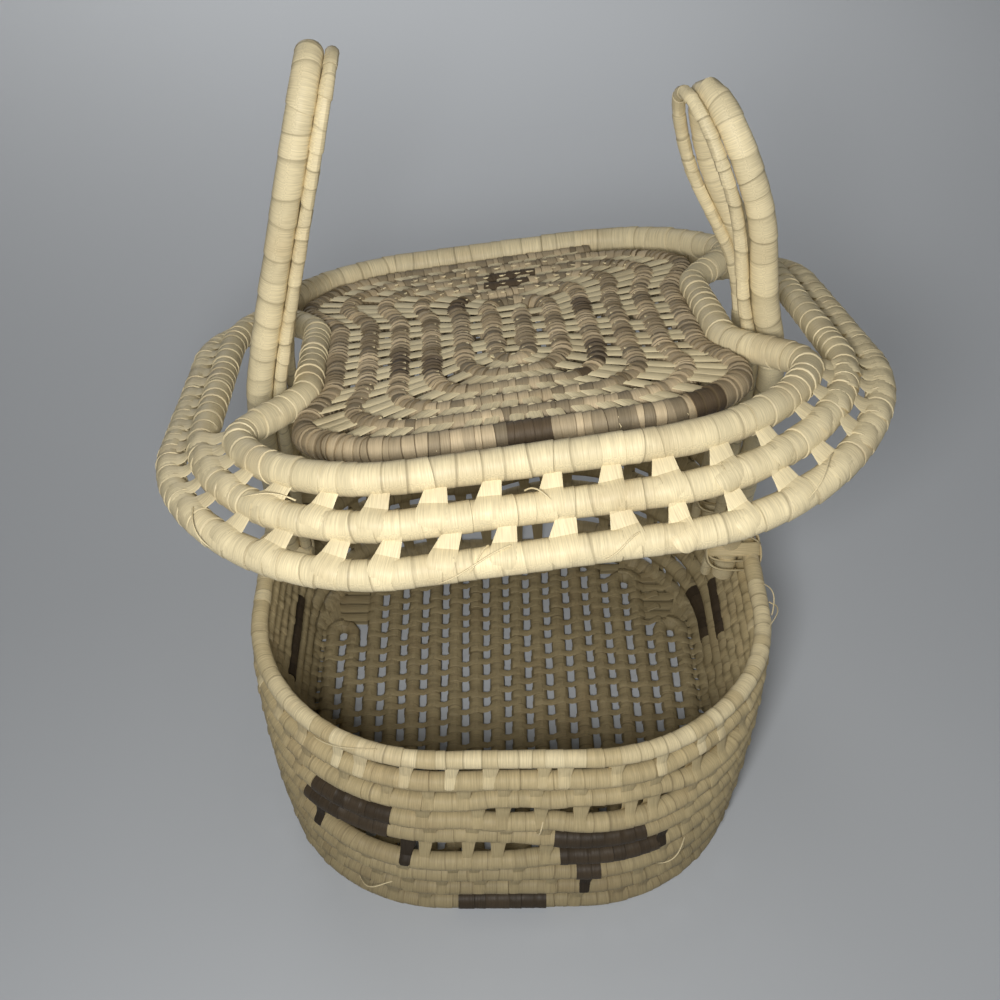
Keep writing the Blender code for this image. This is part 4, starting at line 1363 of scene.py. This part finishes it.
def fibre_tube(row_at, radius, start, stop, begin, end, bow, steps=28, sides=6):
    """A hair along a row: its angle round the row turns evenly, its height bows by a half sine."""
    share = np.linspace(0.0, 1.0, steps)
    station = start + (stop - start) * share
    middle = row_at(station)
    heading = heading_at(row_at, station)
    outward = unit(np.cross(Z, heading))
    above = np.cross(outward, heading)
    above = above * np.sign(above[:, 2:])
    angle = np.radians(begin + (end - begin) * share)[:, None]
    rise = radius + FIBRE_LIFT + bow * np.sin(math.pi * share)[:, None]
    line = Line(middle + rise * (np.cos(angle) * outward + np.sin(angle) * above))
    run = np.linspace(0.0, line.length, steps)
    way = line.heading(run)
    across = unit(np.cross(way, above))
    over = np.cross(across, way)
    turn = np.linspace(0.0, 2.0 * math.pi, sides, endpoint=False)
    thin = (FIBRE_RADIUS * np.sqrt(np.clip(1.0 - share**4, 0.04, 1.0)))[:, None, None]
    ring = np.cos(turn)[:, None] * across[:, None] + np.sin(turn)[:, None] * over[:, None]
    place = line.at(run)[:, None] + thin * ring
    facts = np.full((steps, sides, 4), (0.8, 0.3, 0.0, 0.0))
    wound = columns(run[:, None], turn * FIBRE_LIFT)
    return capped({"grid": place, "facts": facts, "wound": wound, "closed": False})


class BASKET_OT_fibres(bpy.types.Operator):
    """Lets a few loose fibres stand off the rows"""

    bl_idname = "basket.fibres"
    bl_label = "Loosen a few fibres"

    def execute(self, context):
        for body, rows_at, radius in (
            ("lid", skirt_at, SKIRT_COIL / 2.0),
            ("basket", wall_at, WALL_COIL / 2.0),
        ):
            tubes = []
            for owner, row, *rest in FIBRES:
                if owner == body:
                    tubes.append(fibre_tube(lambda station: rows_at(row, station), radius, *rest))
            dress(body + "_fibres", joined(tubes), "stitch", body, [])
        return {"FINISHED"}


# What most lamps aim at
AIM = (MIDDLE_X, 0.0, 0.20)

# Each lamp: name, place, what it aims at, size, share of the key's power, and spread in degrees
LAMPS = (
    ("key", (-0.07, -0.60, 0.67), AIM, 0.12, 1.0, 180.0),
    ("side", (1.6, 0.1, 0.9), AIM, 1.0, 0.6, 180.0),
    ("behind", (-0.7, 1.6, 0.8), AIM, 1.0, 1.1, 180.0),
    ("backdrop", (0.0, 1.2, 1.5), (0.0, 1.2, 0.0), 0.9, 0.60, 80.0),
)

# The camera fitted to the photograph: place in half widths of the mouth, lens in sensor widths, and turns
CAMERA_PLACE = (-0.098, -4.169, 5.169)
CAMERA_LENS = 1.4
CAMERA_DIP = 0.746
CAMERA_TURN = -0.014
SENSOR = 36.0

# Half width of the stage's floor
FLOOR_REACH = 6.0


def lay_stage_floor(scene, colour):
    """A wide flat floor of one colour."""
    corners = [(x * FLOOR_REACH, y * FLOOR_REACH, 0.0) for x, y in ((-1, -1), (1, -1), (1, 1), (-1, 1))]
    mesh = bpy.data.meshes.new("floor")
    mesh.from_pydata(corners, [], [(0, 1, 2, 3)])
    floor = bpy.data.objects.new("floor", mesh)
    scene.collection.objects.link(floor)
    pale = bpy.data.materials.new("pale floor")
    pale.use_nodes = True
    shader = pale.node_tree.nodes["Principled BSDF"]
    shader.inputs["Base Color"].default_value = (*colour, 1.0)
    shader.inputs["Roughness"].default_value = 0.8
    mesh.materials.append(pale)


def light_room(scene, strength):
    """Even light from all round."""
    world = bpy.data.worlds.new("soft room")
    scene.world = world
    world.use_nodes = True
    background = world.node_tree.nodes["Background"]
    background.inputs["Color"].default_value = (0.97, 0.98, 1.0, 1.0)
    background.inputs["Strength"].default_value = strength


def set_lamps(scene, key_power):
    """Round lamps, each turned to what it aims at."""
    for name, place, target, size, share, spread in LAMPS:
        lamp = bpy.data.lights.new(name, "AREA")
        lamp.shape = "DISK"
        lamp.size = size
        lamp.energy = key_power * share
        lamp.spread = math.radians(spread)
        obj = bpy.data.objects.new(name, lamp)
        obj.location = place
        x, y, z = np.array(target) - np.array(place)
        obj.rotation_euler = (math.atan2(math.hypot(x, y), -z), 0.0, math.atan2(-x, y))
        scene.collection.objects.link(obj)


def set_camera(scene):
    """The camera at the photograph's angle."""
    camera = bpy.data.cameras.new("camera")
    camera.sensor_width = SENSOR
    camera.lens = SENSOR * CAMERA_LENS
    camera.clip_start = 0.01
    eye = bpy.data.objects.new("camera", camera)
    x, y, z = (MOUTH[0] * part for part in CAMERA_PLACE)
    eye.location = (x + MIDDLE_X, y, z)
    eye.rotation_euler = (math.pi / 2.0 - CAMERA_DIP, 0.0, CAMERA_TURN)
    scene.collection.objects.link(eye)
    scene.camera = eye
    scene.view_settings.view_transform = "Standard"


class BASKET_OT_stage(bpy.types.Operator):
    """Sets the floor, the lamps and the camera at the photograph's angle"""

    bl_idname = "basket.stage"
    bl_label = "Set the stage"

    def execute(self, context):
        scene = context.scene
        look = scene.basket_stage
        lay_stage_floor(scene, look.floor)
        light_room(scene, look.fill)
        set_lamps(scene, look.key_power)
        set_camera(scene)
        return {"FINISHED"}


STEPS = (
    ("basket.floor", BASKET_OT_floor),
    ("basket.wall", BASKET_OT_wall),
    ("basket.dyed", BASKET_OT_dyed),
    ("basket.handles", BASKET_OT_handles),
    ("basket.panel", BASKET_OT_panel),
    ("basket.lid_edge", BASKET_OT_lid_edge),
    ("basket.fibres", BASKET_OT_fibres),
    ("basket.stage", BASKET_OT_stage),
)


class BASKET_PT_panel(bpy.types.Panel):
    """Lists the basket's sizes, colours and steps"""

    bl_label = "Coiled pie basket"
    bl_idname = "BASKET_PT_panel"
    bl_space_type = "VIEW_3D"
    bl_region_type = "UI"
    bl_category = "Basket"

    def draw(self, context):
        scene = context.scene
        for group in (scene.basket_sizes, scene.basket_colours, scene.basket_stage):
            box = self.layout.box()
            for name in group.__annotations__:
                box.prop(group, name)
        for step, _ in STEPS:
            self.layout.operator(step)


GROUPS = (
    ("basket_sizes", BasketSizes),
    ("basket_colours", LeafColours),
    ("basket_stage", StageLook),
)


def register():
    for name, group in GROUPS:
        bpy.utils.register_class(group)
        setattr(bpy.types.Scene, name, bpy.props.PointerProperty(type=group))
    for _, step in STEPS:
        bpy.utils.register_class(step)
    bpy.utils.register_class(BASKET_PT_panel)


def unregister():
    bpy.utils.unregister_class(BASKET_PT_panel)
    for _, step in reversed(STEPS):
        bpy.utils.unregister_class(step)
    for name, group in reversed(GROUPS):
        delattr(bpy.types.Scene, name)
        bpy.utils.unregister_class(group)


def main():
    register()
    for step, _ in STEPS:
        group, name = step.split(".")
        getattr(getattr(bpy.ops, group), name)()
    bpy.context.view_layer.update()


if __name__ == "__main__":
    main()
